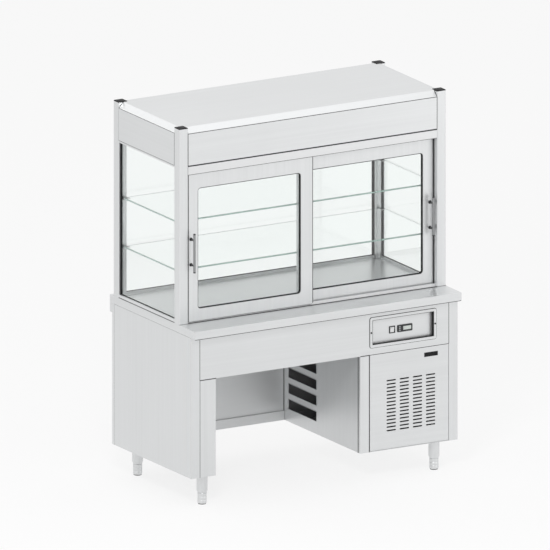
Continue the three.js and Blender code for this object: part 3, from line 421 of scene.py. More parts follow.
class Finish:
    """A material under work: its shader and a few ways to add texture."""

    def __init__(self, name, colour, roughness, metallic=0.0, gloss=0.5):
        self.material = bpy.data.materials.new(name)
        self.material.use_nodes = True
        self.tree = self.material.node_tree
        self.shader = self.tree.nodes["Principled BSDF"]
        self.colour = colour
        self.feed({
            "Base Color": (*colour, 1), "Roughness": roughness, "Metallic": metallic,
            "Specular IOR Level": gloss,
        })

    def feed(self, sockets):
        set_sockets(self.tree, self.shader, sockets)

    def node(self, kind, output, sockets=None, **settings):
        return node_output(self.tree, kind, output, sockets, **settings)

    def noise(self, scale, detail=3.0, stretch=(1, 1, 1), rough=0.5):
        """Noise on object coordinates, which are scaled for each axis first."""
        place = self.node("ShaderNodeTexCoord", "Object")
        place = self.node("ShaderNodeMapping", "Vector", {"Vector": place, "Scale": stretch})
        return self.node("ShaderNodeTexNoise", "Fac", {
            "Vector": place, "Scale": scale, "Detail": detail, "Roughness": rough,
        })

    def span(self, value, low, high, source=NOISE_SPAN):
        """The value spread from its source range to low and high."""
        return self.node("ShaderNodeMapRange", "Result", {
            "Value": value, "From Min": source[0], "From Max": source[1],
            "To Min": low, "To Max": high,
        })

    def sum(self, first, second):
        return self.node("ShaderNodeMath", "Value", {0: first, 1: second}, operation="ADD")

    def vary_colour(self, value, dark, light, source=NOISE_SPAN):
        """Base colour that runs from dark to light shares of the finish's colour."""
        ends = {
            key: (*(min(1, share * part) for part in self.colour), 1)
            for key, share in (("A", dark), ("B", light))
        }
        ends["Factor"] = self.span(value, 0, 1, source)
        self.feed({"Base Color": self.node("ShaderNodeMix", "Result", ends, data_type="RGBA")})

    def vary_roughness(self, value, low, high, source=NOISE_SPAN):
        self.feed({"Roughness": self.span(value, low, high, source)})

    def relief(self, value, depth, strength):
        """A bump of a depth in metres."""
        bump = {"Height": value, "Distance": depth, "Strength": strength}
        self.feed({"Normal": self.node("ShaderNodeBump", "Normal", bump)})


def brushed(name, colour, roughness, grain, contrast=1.0):
    """Metal with brush streaks along one axis, cloudy where the belt pressed more or less."""
    finish = Finish(name, colour, roughness, metallic=BRUSHED_METALLIC)
    axis = "XYZ".index(grain)
    fine = [STREAK_FINE] * 3
    fine[axis] = STREAK_LENGTH
    broad = [STREAK_BROAD] * 3
    broad[axis] = STREAK_LENGTH / 2
    streaks = finish.noise(1.0, 4.0, fine, 0.6)
    bands = finish.noise(1.0, 2.0, broad)
    clouds = finish.noise(CLOUD_SIZE, 2.0)
    both = finish.sum(finish.span(streaks, -0.5, 0.5), finish.span(bands, -0.5, 0.5))
    all_three = finish.sum(both, finish.span(clouds, -0.35, 0.35))
    finish.vary_colour(all_three, 1 - 0.05 * contrast, 1 + 0.025 * contrast, (-1, 1))
    finish.vary_roughness(all_three, roughness - 0.05, roughness + 0.07, (-1, 1))
    finish.relief(streaks, 0.00002, 0.35)
    return finish.material


def glass(name, colour):
    """Clear glass with the faint film that wiping leaves."""
    finish = Finish(name, colour, 0.0)
    finish.feed({"Transmission Weight": 1.0, "IOR": GLASS_IOR})
    finish.vary_roughness(finish.noise(5.0, 3.0, (1, 1, 0.3)), 0.0, GLASS_FILM)
    return finish.material


def moulded(name, colour, roughness, grain_size=900.0, depth=0.00004, gloss=0.5):
    """Moulded plastic with a fine even grain and a slight unevenness in its sheen."""
    finish = Finish(name, colour, roughness, gloss=gloss)
    finish.vary_colour(finish.noise(40.0, 2.0), 0.93, 1.05)
    finish.vary_roughness(finish.noise(25.0, 2.0), roughness - 0.05, roughness + 0.05)
    finish.relief(finish.noise(grain_size, 2.0), depth, 0.5)
    return finish.material


def painted(name, colour, roughness):
    """Baked enamel with a slight orange peel."""
    finish = Finish(name, colour, roughness)
    finish.feed({"Coat Weight": 0.3})
    finish.vary_colour(finish.noise(18.0, 3.0), 0.85, 1.1)
    finish.vary_roughness(finish.noise(30.0, 3.0), roughness - 0.07, roughness + 0.08)
    finish.relief(finish.noise(260.0, 2.0), 0.00008, 0.4)
    return finish.material


def drawn_metal(name, colour, roughness, tarnish):
    """Drawn tube or rolled fin stock with patches of tarnish."""
    finish = Finish(name, colour, roughness, metallic=1.0)
    finish.vary_colour(finish.noise(14.0, 4.0), tarnish, 1.06)
    finish.vary_roughness(finish.noise(22.0, 3.0), roughness - 0.06, roughness + 0.12)
    finish.relief(finish.noise(500.0, 2.0), 0.00003, 0.3)
    return finish.material


def floor_finish():
    """A pale floor that reads as white to the eye and still takes the object's shadow."""
    finish = Finish("studio_floor", FLOOR_COLOUR, 0.9)
    finish.vary_colour(finish.noise(0.8, 2.0), 0.99, 1.0)
    share = {0: seen_rays(finish.tree), 1: FLOOR_GLOW}
    surface = finish.node("ShaderNodeMixShader", "Shader", {
        "Fac": finish.node("ShaderNodeMath", "Value", share, operation="MULTIPLY"),
        1: finish.shader.outputs["BSDF"],
        2: finish.node("ShaderNodeEmission", "Emission", {"Color": (1, 1, 1, 1)}),
    })
    set_sockets(finish.tree, finish.tree.nodes["Material Output"], {"Surface": surface})
    return finish.material


# Pieces

# How far pieces that touch reach into each other
EMBED = 0.0004

# Door handles
HANDLE_RADIUS = 0.006
HANDLE_PLUG = 0.006
PLUG_SOFTENING = 0.0015
STANDOFF_RADIUS = 0.0045
STANDOFF_HALF_PITCH = 0.064
STANDOFF_STEPS = 32
ROSETTE_RADIUS = 0.0085
ROSETTE_THICKNESS = 0.0022
HANDLE_STEPS = 40


def make_handle(side, steel, plastic):
    """A bar handle: a turned bar with end plugs, on two standoffs with small rosettes."""
    node = "door_handle_" + side
    low, high = corners(node)
    x, _, z = centre_of(node)
    face, bar_y = high.y, low.y + HANDLE_RADIUS
    half = (high.z - low.z) / 2
    bar = softened_rod(
        node + "_bar", (x, bar_y, z), HANDLE_RADIUS, HANDLE_PLUG - half, half - HANDLE_PLUG, EMBED,
        steps=HANDLE_STEPS,
    )
    stand_for(bar, steel, node)
    pieces = []
    for end in (-1, 1):
        near, far = sorted((end * (half - HANDLE_PLUG), end * half))
        pieces.append(softened_rod(
            "plug", (x, bar_y, z), HANDLE_RADIUS, near, far, PLUG_SOFTENING, steps=HANDLE_STEPS
        ))
        for radius, reach, steps in (
            (STANDOFF_RADIUS, face - bar_y, STANDOFF_STEPS),
            (ROSETTE_RADIUS, ROSETTE_THICKNESS, HANDLE_STEPS),
        ):
            place = (x, face, z + end * STANDOFF_HALF_PITCH)
            pieces.append(softened_rod("standoff", place, radius, 0, reach, EMBED, "Y", steps))
    fit(joined(node + "_fittings", pieces), plastic, BODY_OF[node])


# Legs and feet; the curve is the shares of waist and height on a leg's way to its full radius
LEG_RIM = 0.002
LEG_WAIST = 0.004
LEG_TAPER = 0.012
LEG_CURVE = ((0.12, 0.25), (0.5, 0.55), (0.88, 0.85), (1, 1))
FOOT_STEM = 0.008
FOOT_PAD = 0.004
FOOT_CHAMFER = 0.003
FOOT_GROOVE = 0.0016
GROOVE_HEIGHTS = (0.35, 0.65)


def make_leg_and_foot(corner, steel, rubber):
    """A leg tube that narrows at its lower end, and its turned foot on a rubber pad."""
    leg, foot = "leg_" + corner, "foot_" + corner
    low, high = corners(leg)
    leg_end = low.z
    x, y, _ = centre_of(leg)
    radius = (high.x - low.x) / 2
    neck, rim = radius - LEG_WAIST, leg_end + LEG_RIM
    profile = [(0, leg_end)] + arc_points(neck - LEG_RIM, rim, LEG_RIM, -90, 0)
    profile += [
        (neck + LEG_WAIST * share, rim + (LEG_TAPER - LEG_RIM) * rise) for share, rise in LEG_CURVE
    ]
    profile += [(radius, high.z), (0, high.z)]
    stand_for(spun(leg + "_tube", profile, (x, y, 0)), steel, leg)

    low, high = corners(foot)
    radius = (high.x - low.x) / 2
    pad, top = low.z + FOOT_PAD, leg_end - EMBED
    profile = [(0, pad), (radius - FOOT_GROOVE, pad)]
    profile += arc_points(radius - LEG_RIM, pad + 2 * LEG_RIM, LEG_RIM, -90, 0)
    for share in GROOVE_HEIGHTS:
        z = pad + (top - pad) * share
        profile += [
            (radius, z - FOOT_GROOVE), (radius - FOOT_GROOVE / 2, z), (radius, z + FOOT_GROOVE)
        ]
    profile += arc_points(radius - LEG_RIM, top - LEG_RIM, LEG_RIM, 0, 90)
    profile += [(FOOT_STEM, top), (FOOT_STEM, high.z), (0, high.z)]
    stand_for(spun(foot + "_turned", profile, (x, y, 0)), steel, foot)
    pad_rod = softened_rod(
        foot + "_pad", (x, y, low.z), radius - FOOT_CHAMFER, 0, FOOT_PAD + EMBED, FOOT_GROOVE / 2
    )
    fit(pad_rod, rubber, BODY_OF[foot])


# Fan rotors; each station along a blade has its share of the chord and its pitch in degrees
FAN_BLADES = 5
FAN_CHORD = 0.056
FAN_TIP_MARGIN = 0.002
BLADE_CHORD_SHARES = (0.62, 0.86, 1.0, 1.0, 0.86, 0.5)
BLADE_PITCHES = (38, 34, 30, 26, 23, 21)
BLADE_ROWS = 6
BLADE_HALF_THICKNESS = 0.0009
BLADE_CAMBER = 0.16
BLADE_SWEEP = 0.12
BLADE_ROOT_INSET = 0.004
HUB_RADIUS = 0.03
HUB_DEPTH = 0.018
HUB_RIM = 0.004
HUB_STEPS = 48
RIVET_CIRCLE = 0.019
RIVET_RADIUS = 0.0032
RIVET_LEAD = 0.08
RIVET_STEPS = 16


def fan_blade(root, tip, chord):
    """One pressed blade along +X: a cambered strip whose pitch eases towards its tip."""
    shape = bmesh.new()
    spans = len(BLADE_PITCHES) - 1
    bmesh.ops.create_grid(shape, x_segments=spans, y_segments=BLADE_ROWS, size=0.5)
    for vertex in shape.verts:
        along = vertex.co.x + 0.5
        index = min(int(along * spans), spans - 1)
        blend = along * spans - index
        width, pitch = (
            shares[index] * (1 - blend) + shares[index + 1] * blend
            for shares in (BLADE_CHORD_SHARES, BLADE_PITCHES)
        )
        pitch = math.radians(pitch)
        across = vertex.co.y * width * chord
        rise = BLADE_CAMBER * chord * width * (0.5 ** 2 - vertex.co.y ** 2)
        vertex.co = Vector((
            root + (tip - root) * along,
            along * chord * BLADE_SWEEP + across * math.cos(pitch) - rise * math.sin(pitch),
            across * math.sin(pitch) + rise * math.cos(pitch),
        ))
    face_outwards(shape)
    bmesh.ops.solidify(shape, geom=shape.faces[:], thickness=2 * BLADE_HALF_THICKNESS)
    face_outwards(shape)
    return shape


def make_fan(node, metal, axis):
    """A fan rotor: a turned hub, five twisted blades and a rivet near the root of each."""
    low, high = corners(node)
    size = high - low
    half = HUB_DEPTH / 2
    profile = [(0, -half)]
    profile += arc_points(HUB_RADIUS - HUB_RIM, -half + HUB_RIM, HUB_RIM, -90, 0)
    profile += [(HUB_RADIUS, half - EMBED), (HUB_RADIUS - EMBED, half), (0, half)]
    pieces = [spun("hub", profile, (0, 0, 0), HUB_STEPS)]
    blade = fan_blade(HUB_RADIUS - BLADE_ROOT_INSET, max(size) / 2 - FAN_TIP_MARGIN, FAN_CHORD)
    reach = max(abs(vertex.co.z) for vertex in blade.verts)
    flatten = min(1.0, size["XYZ".index(axis)] / 2 / reach)
    bmesh.ops.scale(blade, vec=(1, 1, flatten), verts=blade.verts[:])
    for index in range(FAN_BLADES):
        copy = blade.copy()
        turn = Matrix.Rotation(math.tau * index / FAN_BLADES, 4, "Z")
        bmesh.ops.transform(copy, matrix=turn, verts=copy.verts[:])
        pieces.append(object_from(copy, "blade"))
        angle = math.tau * (index + RIVET_LEAD) / FAN_BLADES
        pieces.append(softened_rod(
            "rivet", (RIVET_CIRCLE * math.cos(angle), RIVET_CIRCLE * math.sin(angle), 0),
            RIVET_RADIUS, -half - RIVET_RADIUS / 3, 0, RIVET_RADIUS / 3, steps=RIVET_STEPS,
        ))
    blade.free()
    rotor = joined(node + "_rotor", pieces)
    turns = {"Z": Matrix.Identity(4), "Y": Matrix.Rotation(math.radians(-90), 4, "X")}
    rotor.data.transform(Matrix.Translation(centre_of(node)) @ turns[axis])
    stand_for(rotor, metal, node)


# Coils, with the number of tubes in the height and in the depth of each
COIL_ROWS = {"condenser": (9, 2), "evaporator_coil": (4, 5)}
FIN_THICKNESS = 0.0007
FIN_COUNT = 64
END_PLATE = 0.0016
TUBE_RADIUS = 0.0045
TUBE_STEPS = 12
BEND_STEPS = 8
BEND_REACH = 0.026


def make_coil(node, fin_metal, tube_metal):
    """A finned coil: thin fins between end plates, and hairpin bends out of both its ends."""
    low, high = corners(node)
    size = high - low
    ends = (low.x + BEND_REACH, high.x - BEND_REACH)
    pitch = (ends[1] - ends[0]) / FIN_COUNT
    places = [ends[0] + index * pitch - FIN_THICKNESS / 2 for index in range(1, FIN_COUNT)]
    sheets = [(x, FIN_THICKNESS) for x in places]
    sheets += [(ends[0], END_PLATE), (ends[1] - END_PLATE, END_PLATE)]
    fins = [slab("fin", (x, low.y, low.z), (x + t, high.y, high.z), 0) for x, t in sheets]
    stand_for(joined(node + "_fins", fins, smooth=False), fin_metal, node)
    tubes = []
    rows, columns = COIL_ROWS[node]
    rise = size.z / rows
    for column in range(columns):
        y = low.y + size.y * (column + 0.5) / columns
        for row in range(rows):
            z = low.z + rise * (row + 0.5)
            tubes.append(softened_rod(
                "tube", (0, y, z), TUBE_RADIUS, ends[0] - EMBED, ends[1] + EMBED, EMBED, "X",
                TUBE_STEPS,
            ))
            if row == rows - 1:
                continue
            right = (row + column) % 2
            outwards = Matrix.Rotation(math.radians(90 if right else -90), 4, "Y")
            place = Matrix.Translation((ends[right], y, z + rise / 2)) @ outwards
            tubes.append(bent_rod(
                "bend", TUBE_RADIUS, rise / 2, math.pi, BEND_STEPS, TUBE_STEPS,
                place @ Matrix.Rotation(math.radians(90), 4, "X"),
            ))
    fit(joined(node + "_tubes", tubes), tube_metal, BODY_OF[node])


# Compressor; the shares are of its pot's radius
POT_RADIUS = 0.072
POT_LIFT = 0.008
POT_CORNER_SHARE = 0.3
POT_STEPS = 72
SEAM_HEIGHT_SHARE = 0.56
SEAM_PROUD = 0.0035
SEAM_HALF = 0.003
CORNER_POINTS = 8
DOME_ANGLES = range(20, 90, 10)
DOME_FULLNESS = 0.7
FOOT_PLATE = 0.0035
FOOT_PLATE_EDGE = 0.0015
GROMMET_RADIUS = 0.013
GROMMET_HEIGHT = 0.012
GROMMET_EDGE = 0.002
GROMMET_INSET = 0.021
SERVICE_RADIUS = 0.004
SERVICE_LENGTH = 0.12
SERVICE_EDGE = 0.0015
SERVICE_STEPS = 20
SERVICE_OFFSET_SHARE = 0.75
SERVICE_RISE_SHARE = 0.5
COVER_WIDTH = 0.06
COVER_HEIGHT = 0.062
COVER_LOW = 0.055
COVER_SOFTENING = 0.005
COVER_BACK_SHARE = 0.8


def make_compressor(paint, rubber, copper, plastic):
    """A hermetic compressor: a welded pot on a foot plate, its cover and its service tube."""
    node = "compressor"
    low, high = corners(node)
    half = (high.x - low.x) / 2
    x, y = low.x + half, high.y - half
    base = low.z + POT_LIFT
    seam = low.z + (high.z - low.z) * SEAM_HEIGHT_SHARE
    corner = POT_RADIUS * POT_CORNER_SHARE
    shoulder, rim = POT_RADIUS - SEAM_HALF / 2, POT_RADIUS + SEAM_PROUD
    crown = high.z - seam - SEAM_HALF
    profile = [(0, base)]
    profile += arc_points(POT_RADIUS - corner, base + corner, corner, -90, 0, CORNER_POINTS)
    profile += [(POT_RADIUS, seam - SEAM_HALF), (rim, seam - SEAM_HALF)]
    profile += [(rim, seam + SEAM_HALF), (shoulder, seam + SEAM_HALF)]
    for angle in map(math.radians, DOME_ANGLES):
        height = seam + SEAM_HALF + crown * math.sin(angle)
        profile.append((shoulder * math.cos(angle) ** DOME_FULLNESS, height))
    profile.append((0, high.z))
    pot = spun("pot", profile, (x, y, 0), POT_STEPS)
    underside = low.z + GROMMET_HEIGHT / 2
    plate = slab(
        "plate", (low.x, y - half, underside), (high.x, high.y, underside + FOOT_PLATE),
        FOOT_PLATE_EDGE,
    )
    stand_for(joined(node + "_pot", [pot, plate]), paint, node)
    inset = half - GROMMET_INSET
    feet = [
        softened_rod(
            "foot", (x + side_x * inset, y + side_y * inset, low.z), GROMMET_RADIUS, 0,
            GROMMET_HEIGHT, GROMMET_EDGE,
        )
        for side_x in (-1, 1) for side_y in (-1, 1)
    ]
    fit(joined("compressor_grommets", feet), rubber)
    cover = slab(
        "compressor_cover", (x - COVER_WIDTH / 2, low.y, low.z + COVER_LOW),
        (x + COVER_WIDTH / 2, y - POT_RADIUS * COVER_BACK_SHARE, low.z + COVER_LOW + COVER_HEIGHT),
        COVER_SOFTENING,
    )
    fit(cover, plastic)
    offset = POT_RADIUS * SERVICE_OFFSET_SHARE
    stub = softened_rod(
        "compressor_service_tube", (x - offset, y + offset, base + POT_RADIUS * SERVICE_RISE_SHARE),
        SERVICE_RADIUS, 0, SERVICE_LENGTH, SERVICE_EDGE, steps=SERVICE_STEPS,
    )
    fit(stub, copper)


# Seals of the door windows
GLASS_BITE = 0.009
WINDOW_CORNER = 0.016
SEAL_WIDTH = 0.0035
SEAL_REACH = 0.002
SEAL_DEPTH = 0.0035


def window_seals(side, rubber):
    """The rubber glazing bead round a door's window, on both faces of its pane."""
    low, high = corners("sliding_door_" + side)
    pane_low, pane_high = corners("door_glass_" + side)
    window = grown((pane_low.x, pane_low.z, pane_high.x, pane_high.z), -GLASS_BITE)
    outer = rounded_points(*grown(window, SEAL_REACH), WINDOW_CORNER + SEAL_REACH)
    inner = rounded_points(*grown(window, -SEAL_WIDTH), WINDOW_CORNER - SEAL_WIDTH)
    for name, y0, y1 in (
        ("front", low.y + SEAL_DEPTH, pane_low.y - EMBED / 4),
        ("rear", pane_high.y + EMBED / 4, high.y - SEAL_DEPTH),
    ):
        seal = frame_ring(f"door_seal_{side}_{name}", outer, inner, y0, y1)
        fit(seal, rubber, side + "_door")


LINE_SHARP_ANGLE = math.radians(62)


def make_line(copper):
    """The refrigerant line as a smooth drawn tube."""
    node = "refrigerant_line"
    shape = bmesh.new()
    shape.from_mesh(NODES[node].data)
    weld(shape)
    face_outwards(shape)
    tube = object_from(shape, node + "_tube", smooth=True)
    tube.data.set_sharp_from_angle(angle=LINE_SHARP_ANGLE)
    stand_for(tube, copper, node)


# Screws of the bezel, and the access door's plate between two corners in X and Z
SCREW_RADIUS = 0.0048
SCREW_HEIGHT = 0.0022
SCREW_FILLET = 0.0014
SCREW_ANGLES = (25, 50, 75)
SCREW_STEPS = 32
RECESS_RIM = 0.0022
RECESS_FLOOR = 0.001
RECESS_DEPTH = 0.0009
BEZEL_SCREW_INSET = 0.0072
PLATE_LOW = (0.562, 0.590)
PLATE_HIGH = (0.638, 0.612)
PLATE_THICKNESS = 0.0008


def dome_screw(name, place, material):
    """A dome-headed screw facing the operator, with a round recess."""
    shoulder, floor = SCREW_HEIGHT - SCREW_FILLET, SCREW_HEIGHT - RECESS_DEPTH
    profile = [(0, 0), (SCREW_RADIUS, 0), (SCREW_RADIUS, shoulder)]
    for angle in map(math.radians, SCREW_ANGLES):
        profile.append((SCREW_RADIUS * math.cos(angle), shoulder + SCREW_FILLET * math.sin(angle)))
    profile += [(RECESS_RIM, SCREW_HEIGHT), (RECESS_FLOOR, floor), (0, floor)]
    fit(spun(name, profile, place, SCREW_STEPS, "Y"), material)


def make_fastenings(black):
    """The two bezel screws and the bare black plate on the access door."""
    low, high = corners("control_bezel")
    middle = centre_of("control_bezel").z
    for name, x in (("left", low.x + BEZEL_SCREW_INSET), ("right", high.x - BEZEL_SCREW_INSET)):
        dome_screw("bezel_screw_" + name, (x, low.y + EMBED / 2, middle), black)
    face = corners("grille_door")[0].y
    plate = slab(
        "access_door_plate", (PLATE_LOW[0], face - PLATE_THICKNESS, PLATE_LOW[1]),
        (PLATE_HIGH[0], face + EMBED / 2, PLATE_HIGH[1]), PLATE_THICKNESS / 3,
    )
    fit(plate, black, "access_door")


# Guard of the evaporator fan
GUARD_WIRE = 0.0011
GUARD_RINGS = 8
GUARD_SPOKES = 4
GUARD_REACH = 0.1
GUARD_CLEARANCE = 0.003
RING_STEPS = 56
WIRE_STEPS = 8


def make_fan_guard(steel):
    """The wire guard that hangs under the evaporator fan from the ceiling."""
    x, y, _ = centre_of("evaporator_fan")
    ceiling = corners("ceiling_panel")[0].z
    z = corners("evaporator_fan")[0].z - GUARD_CLEARANCE - GUARD_WIRE
    wires = [
        bent_rod(
            "ring", GUARD_WIRE, GUARD_REACH * index / GUARD_RINGS, math.tau, RING_STEPS,
            WIRE_STEPS, Matrix.Translation((x, y, z)),
        )
        for index in range(1, GUARD_RINGS + 1)
    ]
    for index in range(GUARD_SPOKES):
        turn = Matrix.Rotation(math.pi * index / GUARD_SPOKES, 4, "Z")
        spoke = softened_rod(
            "spoke", (0, 0, 0), GUARD_WIRE, -GUARD_REACH, GUARD_REACH, GUARD_WIRE / 2, "X",
            WIRE_STEPS,
        )
        spoke.data.transform(Matrix.Translation((x, y, z - GUARD_WIRE)) @ turn)
        wires.append(spoke)
        for end in (-1, 1):
            hook = softened_rod(
                "hook", (end * (GUARD_REACH - GUARD_WIRE), 0, 0), GUARD_WIRE, z - 2 * GUARD_WIRE,
                ceiling + EMBED, GUARD_WIRE / 2, "Z", WIRE_STEPS,
            )
            hook.data.transform(Matrix.Translation((x, y, 0)) @ turn)
            wires.append(hook)
    fit(joined("evaporator_fan_guard", wires), steel)


# Seams, gaskets and caps

RUBBER_STEPS = 2
BEAD_HALF = 0.0016
BEAD_DEPTH = 0.0016
BEAD_SINK = 0.00006
BEAD_PROUD = 0.00025
JAMB_BEAD_HALF = 0.004
APRON_BEAD_HALF = 0.0024
ROOF_BEVEL = 0.028
ROOF_BEAD = 0.0022
ROOF_BEAD_START = 0.08
ROD_STEPS = 12


def bead(along, span, out, surface, across, middle, half=BEAD_HALF):
    """A sealant bead: it runs along one axis, faces out along another and is centred on a third."""
    low, high = [0.0] * 3, [0.0] * 3
    a, n, c = ("XYZ".index(axis) for axis in (along, out[1], across))
    sign = 1 if out[0] == "+" else -1
    outermost = abs(abs(surface) - CAD_BOX[1][n]) < BEAD_DEPTH
    rise = -BEAD_SINK if outermost else BEAD_PROUD
    low[a], high[a] = span
    low[n], high[n] = sorted((surface - sign * BEAD_DEPTH, surface + sign * rise))
    low[c], high[c] = middle - half, middle + half
    return slab("bead", low, high, BEAD_HALF / 3, RUBBER_STEPS)


def roof_beads(corner):
    """The two slanting beads where the roof's bevels meet the inner faces of a post."""
    low, high = post_square(corner)
    front, left = corner.startswith("front"), corner.endswith("left")
    outer = Vector((low.x if left else high.x, low.y if front else high.y, 0))
    inner = Vector((high.x if left else low.x, high.y if front else low.y, 0))
    foot, top = corners("fascia_front")[1].z, corners("roof")[1].z
    beads = []
    for across in (0, 1):
        inwards = 1 if inner[across] > outer[across] else -1
        ends = []
        for share in (ROOF_BEAD_START, 1.0):
            end = inner.copy()
            end[across] = outer[across] + inwards * ROOF_BEVEL * share
            end.z = foot + (top - foot) * share
            ends.append(end)
        way = ends[1] - ends[0]
        rod = softened_rod("bead", (0, 0, 0), ROOF_BEAD, 0, way.length, EMBED, steps=ROD_STEPS)
        turn = way.to_track_quat("Z", "X").to_matrix().to_4x4()
        rod.data.transform(Matrix.Translation(ends[0]) @ turn)
        beads.append(rod)
    return beads


def make_joint_beads(sealant):
    """The dark sealant that closes the seams between the panels."""
    post_low, post_high = post_square("front_left")
    back_low, back_high = post_square("back_right")
    apron_low, apron_high = corners("apron")
    strip_low, strip_high = corners("side_panel_left")
    jamb_low, jamb_high = corners("compartment_jamb")
    knee_low, knee_high = corners("knee_lining")
    sill_low, sill_high = corners("display_deck")
    fascia = tuple(corner.z for corner in corners("fascia_front"))
    front, back = post_low.y, back_high.y
    left, right = post_low.x, back_high.x
    inner_x = (post_high.x, back_low.x)
    inner_y = (post_high.y, back_low.y)
    beads = []

    def seam(*details):
        beads.append(bead(*details))

    # The fascias, all round
    for side, surface in (("-Y", front), ("+Y", back)):
        for x in inner_x:
            seam("Z", fascia, side, surface, "X", x)
        for z in fascia:
            seam("X", inner_x, side, surface, "Z", z)
    for side, surface in (("-X", left), ("+X", right)):
        for y in inner_y:
            seam("Z", fascia, side, surface, "Y", y)
        for z in (fascia[0] - BEAD_HALF / 2, fascia[1]):
            seam("Y", inner_y, side, surface, "Z", z)

    # The side panels and the apron
    for side, surface in (("-X", strip_low.x), ("+X", -strip_low.x)):
        seam("Y", (strip_low.y, strip_high.y), side, surface, "Z", strip_high.z)
        seam("Z", (strip_low.z, strip_high.z), side, surface, "Y", strip_high.y)
    for x in (apron_low.x, apron_high.x):
        seam("Z", (apron_low.z, apron_high.z), "-Y", apron_low.y, "X", x)
    seam("X", (jamb_high.x, apron_high.x), "-Y", apron_low.y, "Z", apron_low.z)
    for span in ((apron_low.x, knee_high.x), (jamb_low.x, jamb_high.x)):
        seam("X", span, "-Y", apron_low.y, "Z", apron_low.z, APRON_BEAD_HALF)

    # The knee hole
    jamb = (jamb_low.z, apron_low.z)
    seam("Z", (knee_low.z, apron_low.z), "-Y", knee_low.y, "X", knee_low.x + BEAD_HALF)
    seam("Z", jamb, "-X", jamb_low.x, "Y", jamb_high.y, JAMB_BEAD_HALF)
    seam("Z", jamb, "-Y", jamb_low.y, "X", jamb_high.x - BEAD_HALF)
    rear = (knee_low.z, apron_high.z)
    seam("Z", rear, "+X", knee_high.x + BEAD_DEPTH, "Y", strip_high.y - BEAD_HALF)
    seam("Z", rear, "-X", jamb_low.x - BEAD_DEPTH, "Y", strip_high.y - BEAD_HALF)

    # The display's sill
    sill = sill_low.z + BEAD_HALF
    seam("Y", inner_y, "-X", sill_low.x - BEAD_DEPTH / 2, "Z", sill)
    seam("Y", inner_y, "+X", sill_high.x + BEAD_DEPTH / 2, "Z", sill)
    seam("X", inner_x, "+Y", sill_high.y + BEAD_DEPTH / 2, "Z", sill)
    seam("X", inner_x, "-Y", front - BEAD_DEPTH / 2, "Z", sill)

    for corner in CORNERS:
        beads += roof_beads(corner)
    fit(joined("joint_sealant", beads, smooth=False), sealant)


DRIP_INSET = 0.002
DRIP_SETBACK = 0.0004
DRIP_DEPTH = 0.006
DRIP_HEIGHT = 0.0026


def make_drip_and_shadow_strip(rubber):
    """A black strip under the worktop's front edge, over which spills drip off; its black is also
    painted shadow for the overhang's shade line.
    """
    low, high = corners("worktop")
    underside = corners("apron")[1].z
    strip = slab(
        "worktop_drip_and_shadow_strip", (low.x + DRIP_INSET, low.y + DRIP_SETBACK, underside - DRIP_HEIGHT),
        (high.x - DRIP_INSET, low.y + DRIP_DEPTH, underside + EMBED / 8), DRIP_HEIGHT / 4,
        RUBBER_STEPS,
    )
    fit(strip, rubber)


GASKET = 0.0055
GASKET_OUTER = 0.006
LIP = 0.0022


def make_glazing_gaskets(rubber):
    """The rubber that holds the three fixed panes between the posts, the sill and the fascia."""
    pieces = []
    bottom, top = corners("display_deck")[1].z, corners("side_fascia_left")[0].z
    for node, n, sign in (
        ("side_glass_left", 0, -1), ("side_glass_right", 0, 1), ("customer_glass", 1, 1)
    ):
        low, high = corners(node)
        run = 1 - n
        outer, inner = (high[n], low[n]) if sign > 0 else (low[n], high[n])
        upright = (bottom, top)
        for face, way, reach in ((outer, sign, GASKET_OUTER), (inner, -sign, LIP)):
            for span, rise, depth in (
                ((low[run], low[run] + GASKET), upright, reach),
                ((high[run] - GASKET, high[run]), upright, reach),
                ((low[run] + GASKET, high[run] - GASKET), (bottom - EMBED, bottom + LIP), LIP),
                ((low[run] + GASKET, high[run] - GASKET), (top - LIP, top + EMBED), LIP),
            ):
                a, b = [0.0, 0.0, rise[0]], [0.0, 0.0, rise[1]]
                a[n], b[n] = sorted((face, face + way * depth))
                a[run], b[run] = span
                pieces.append(slab("strip", a, b, LIP / 3, RUBBER_STEPS))
    fit(joined("glazing_gaskets", pieces, smooth=False), rubber)


CAP_HEIGHT = 0.004
CAP_SOFTENING = 0.0014
CAP_STEPS = 3
FOOTING = 0.0014
FOOTING_PROUD = 0.0003


def make_post_trim(corner, steel, cap_plastic, rubber):
    """A post, its moulded cap and the thin gasket where it stands on the worktop."""
    low, high = post_square(corner)
    folded("post_" + corner, steel, top=high.z - CAP_HEIGHT)
    shape = bmesh.new()
    outline = rounded_points(low.x, low.y, high.x, high.y, POST_CORNER)
    rim = shape.faces.new([shape.verts.new((x, y, high.z - CAP_HEIGHT)) for x, y in outline])
    raised = bmesh.ops.extrude_face_region(shape, geom=[rim])["geom"]
    raised = [part for part in raised if isinstance(part, bmesh.types.BMVert)]
    bmesh.ops.translate(shape, vec=(0, 0, CAP_HEIGHT), verts=raised)
    crown = [edge for edge in shape.edges if all(vertex in raised for vertex in edge.verts)]
    round_edges(shape, crown, CAP_SOFTENING, CAP_STEPS)
    face_outwards(shape)
    fit(object_from(shape, "post_cap_" + corner, smooth=True), cap_plastic)
    grow = Vector((-EMBED, FOOTING_PROUD, 0))
    top = Vector((high.x, high.y, low.z + FOOTING))
    fit(slab("post_gasket_" + corner, low - grow, top + grow, FOOTING / 4, RUBBER_STEPS), rubber)


HEADER_SEAL_HEIGHT = 0.005
HEADER_SEAL_PROUD = 0.0012
DOOR_SEAL_WIDTH = 0.0045
DOOR_SEAL_GAP = 0.0006
BUFFER_DEPTH = 0.005
BRUSH_DROP = 0.0022
BRUSH_DEPTH = 0.004
MEETING_SEAL_WIDTH = 0.0032
MEETING_SEAL_DEPTH = 0.013
MEETING_SEAL_INSET = 0.002


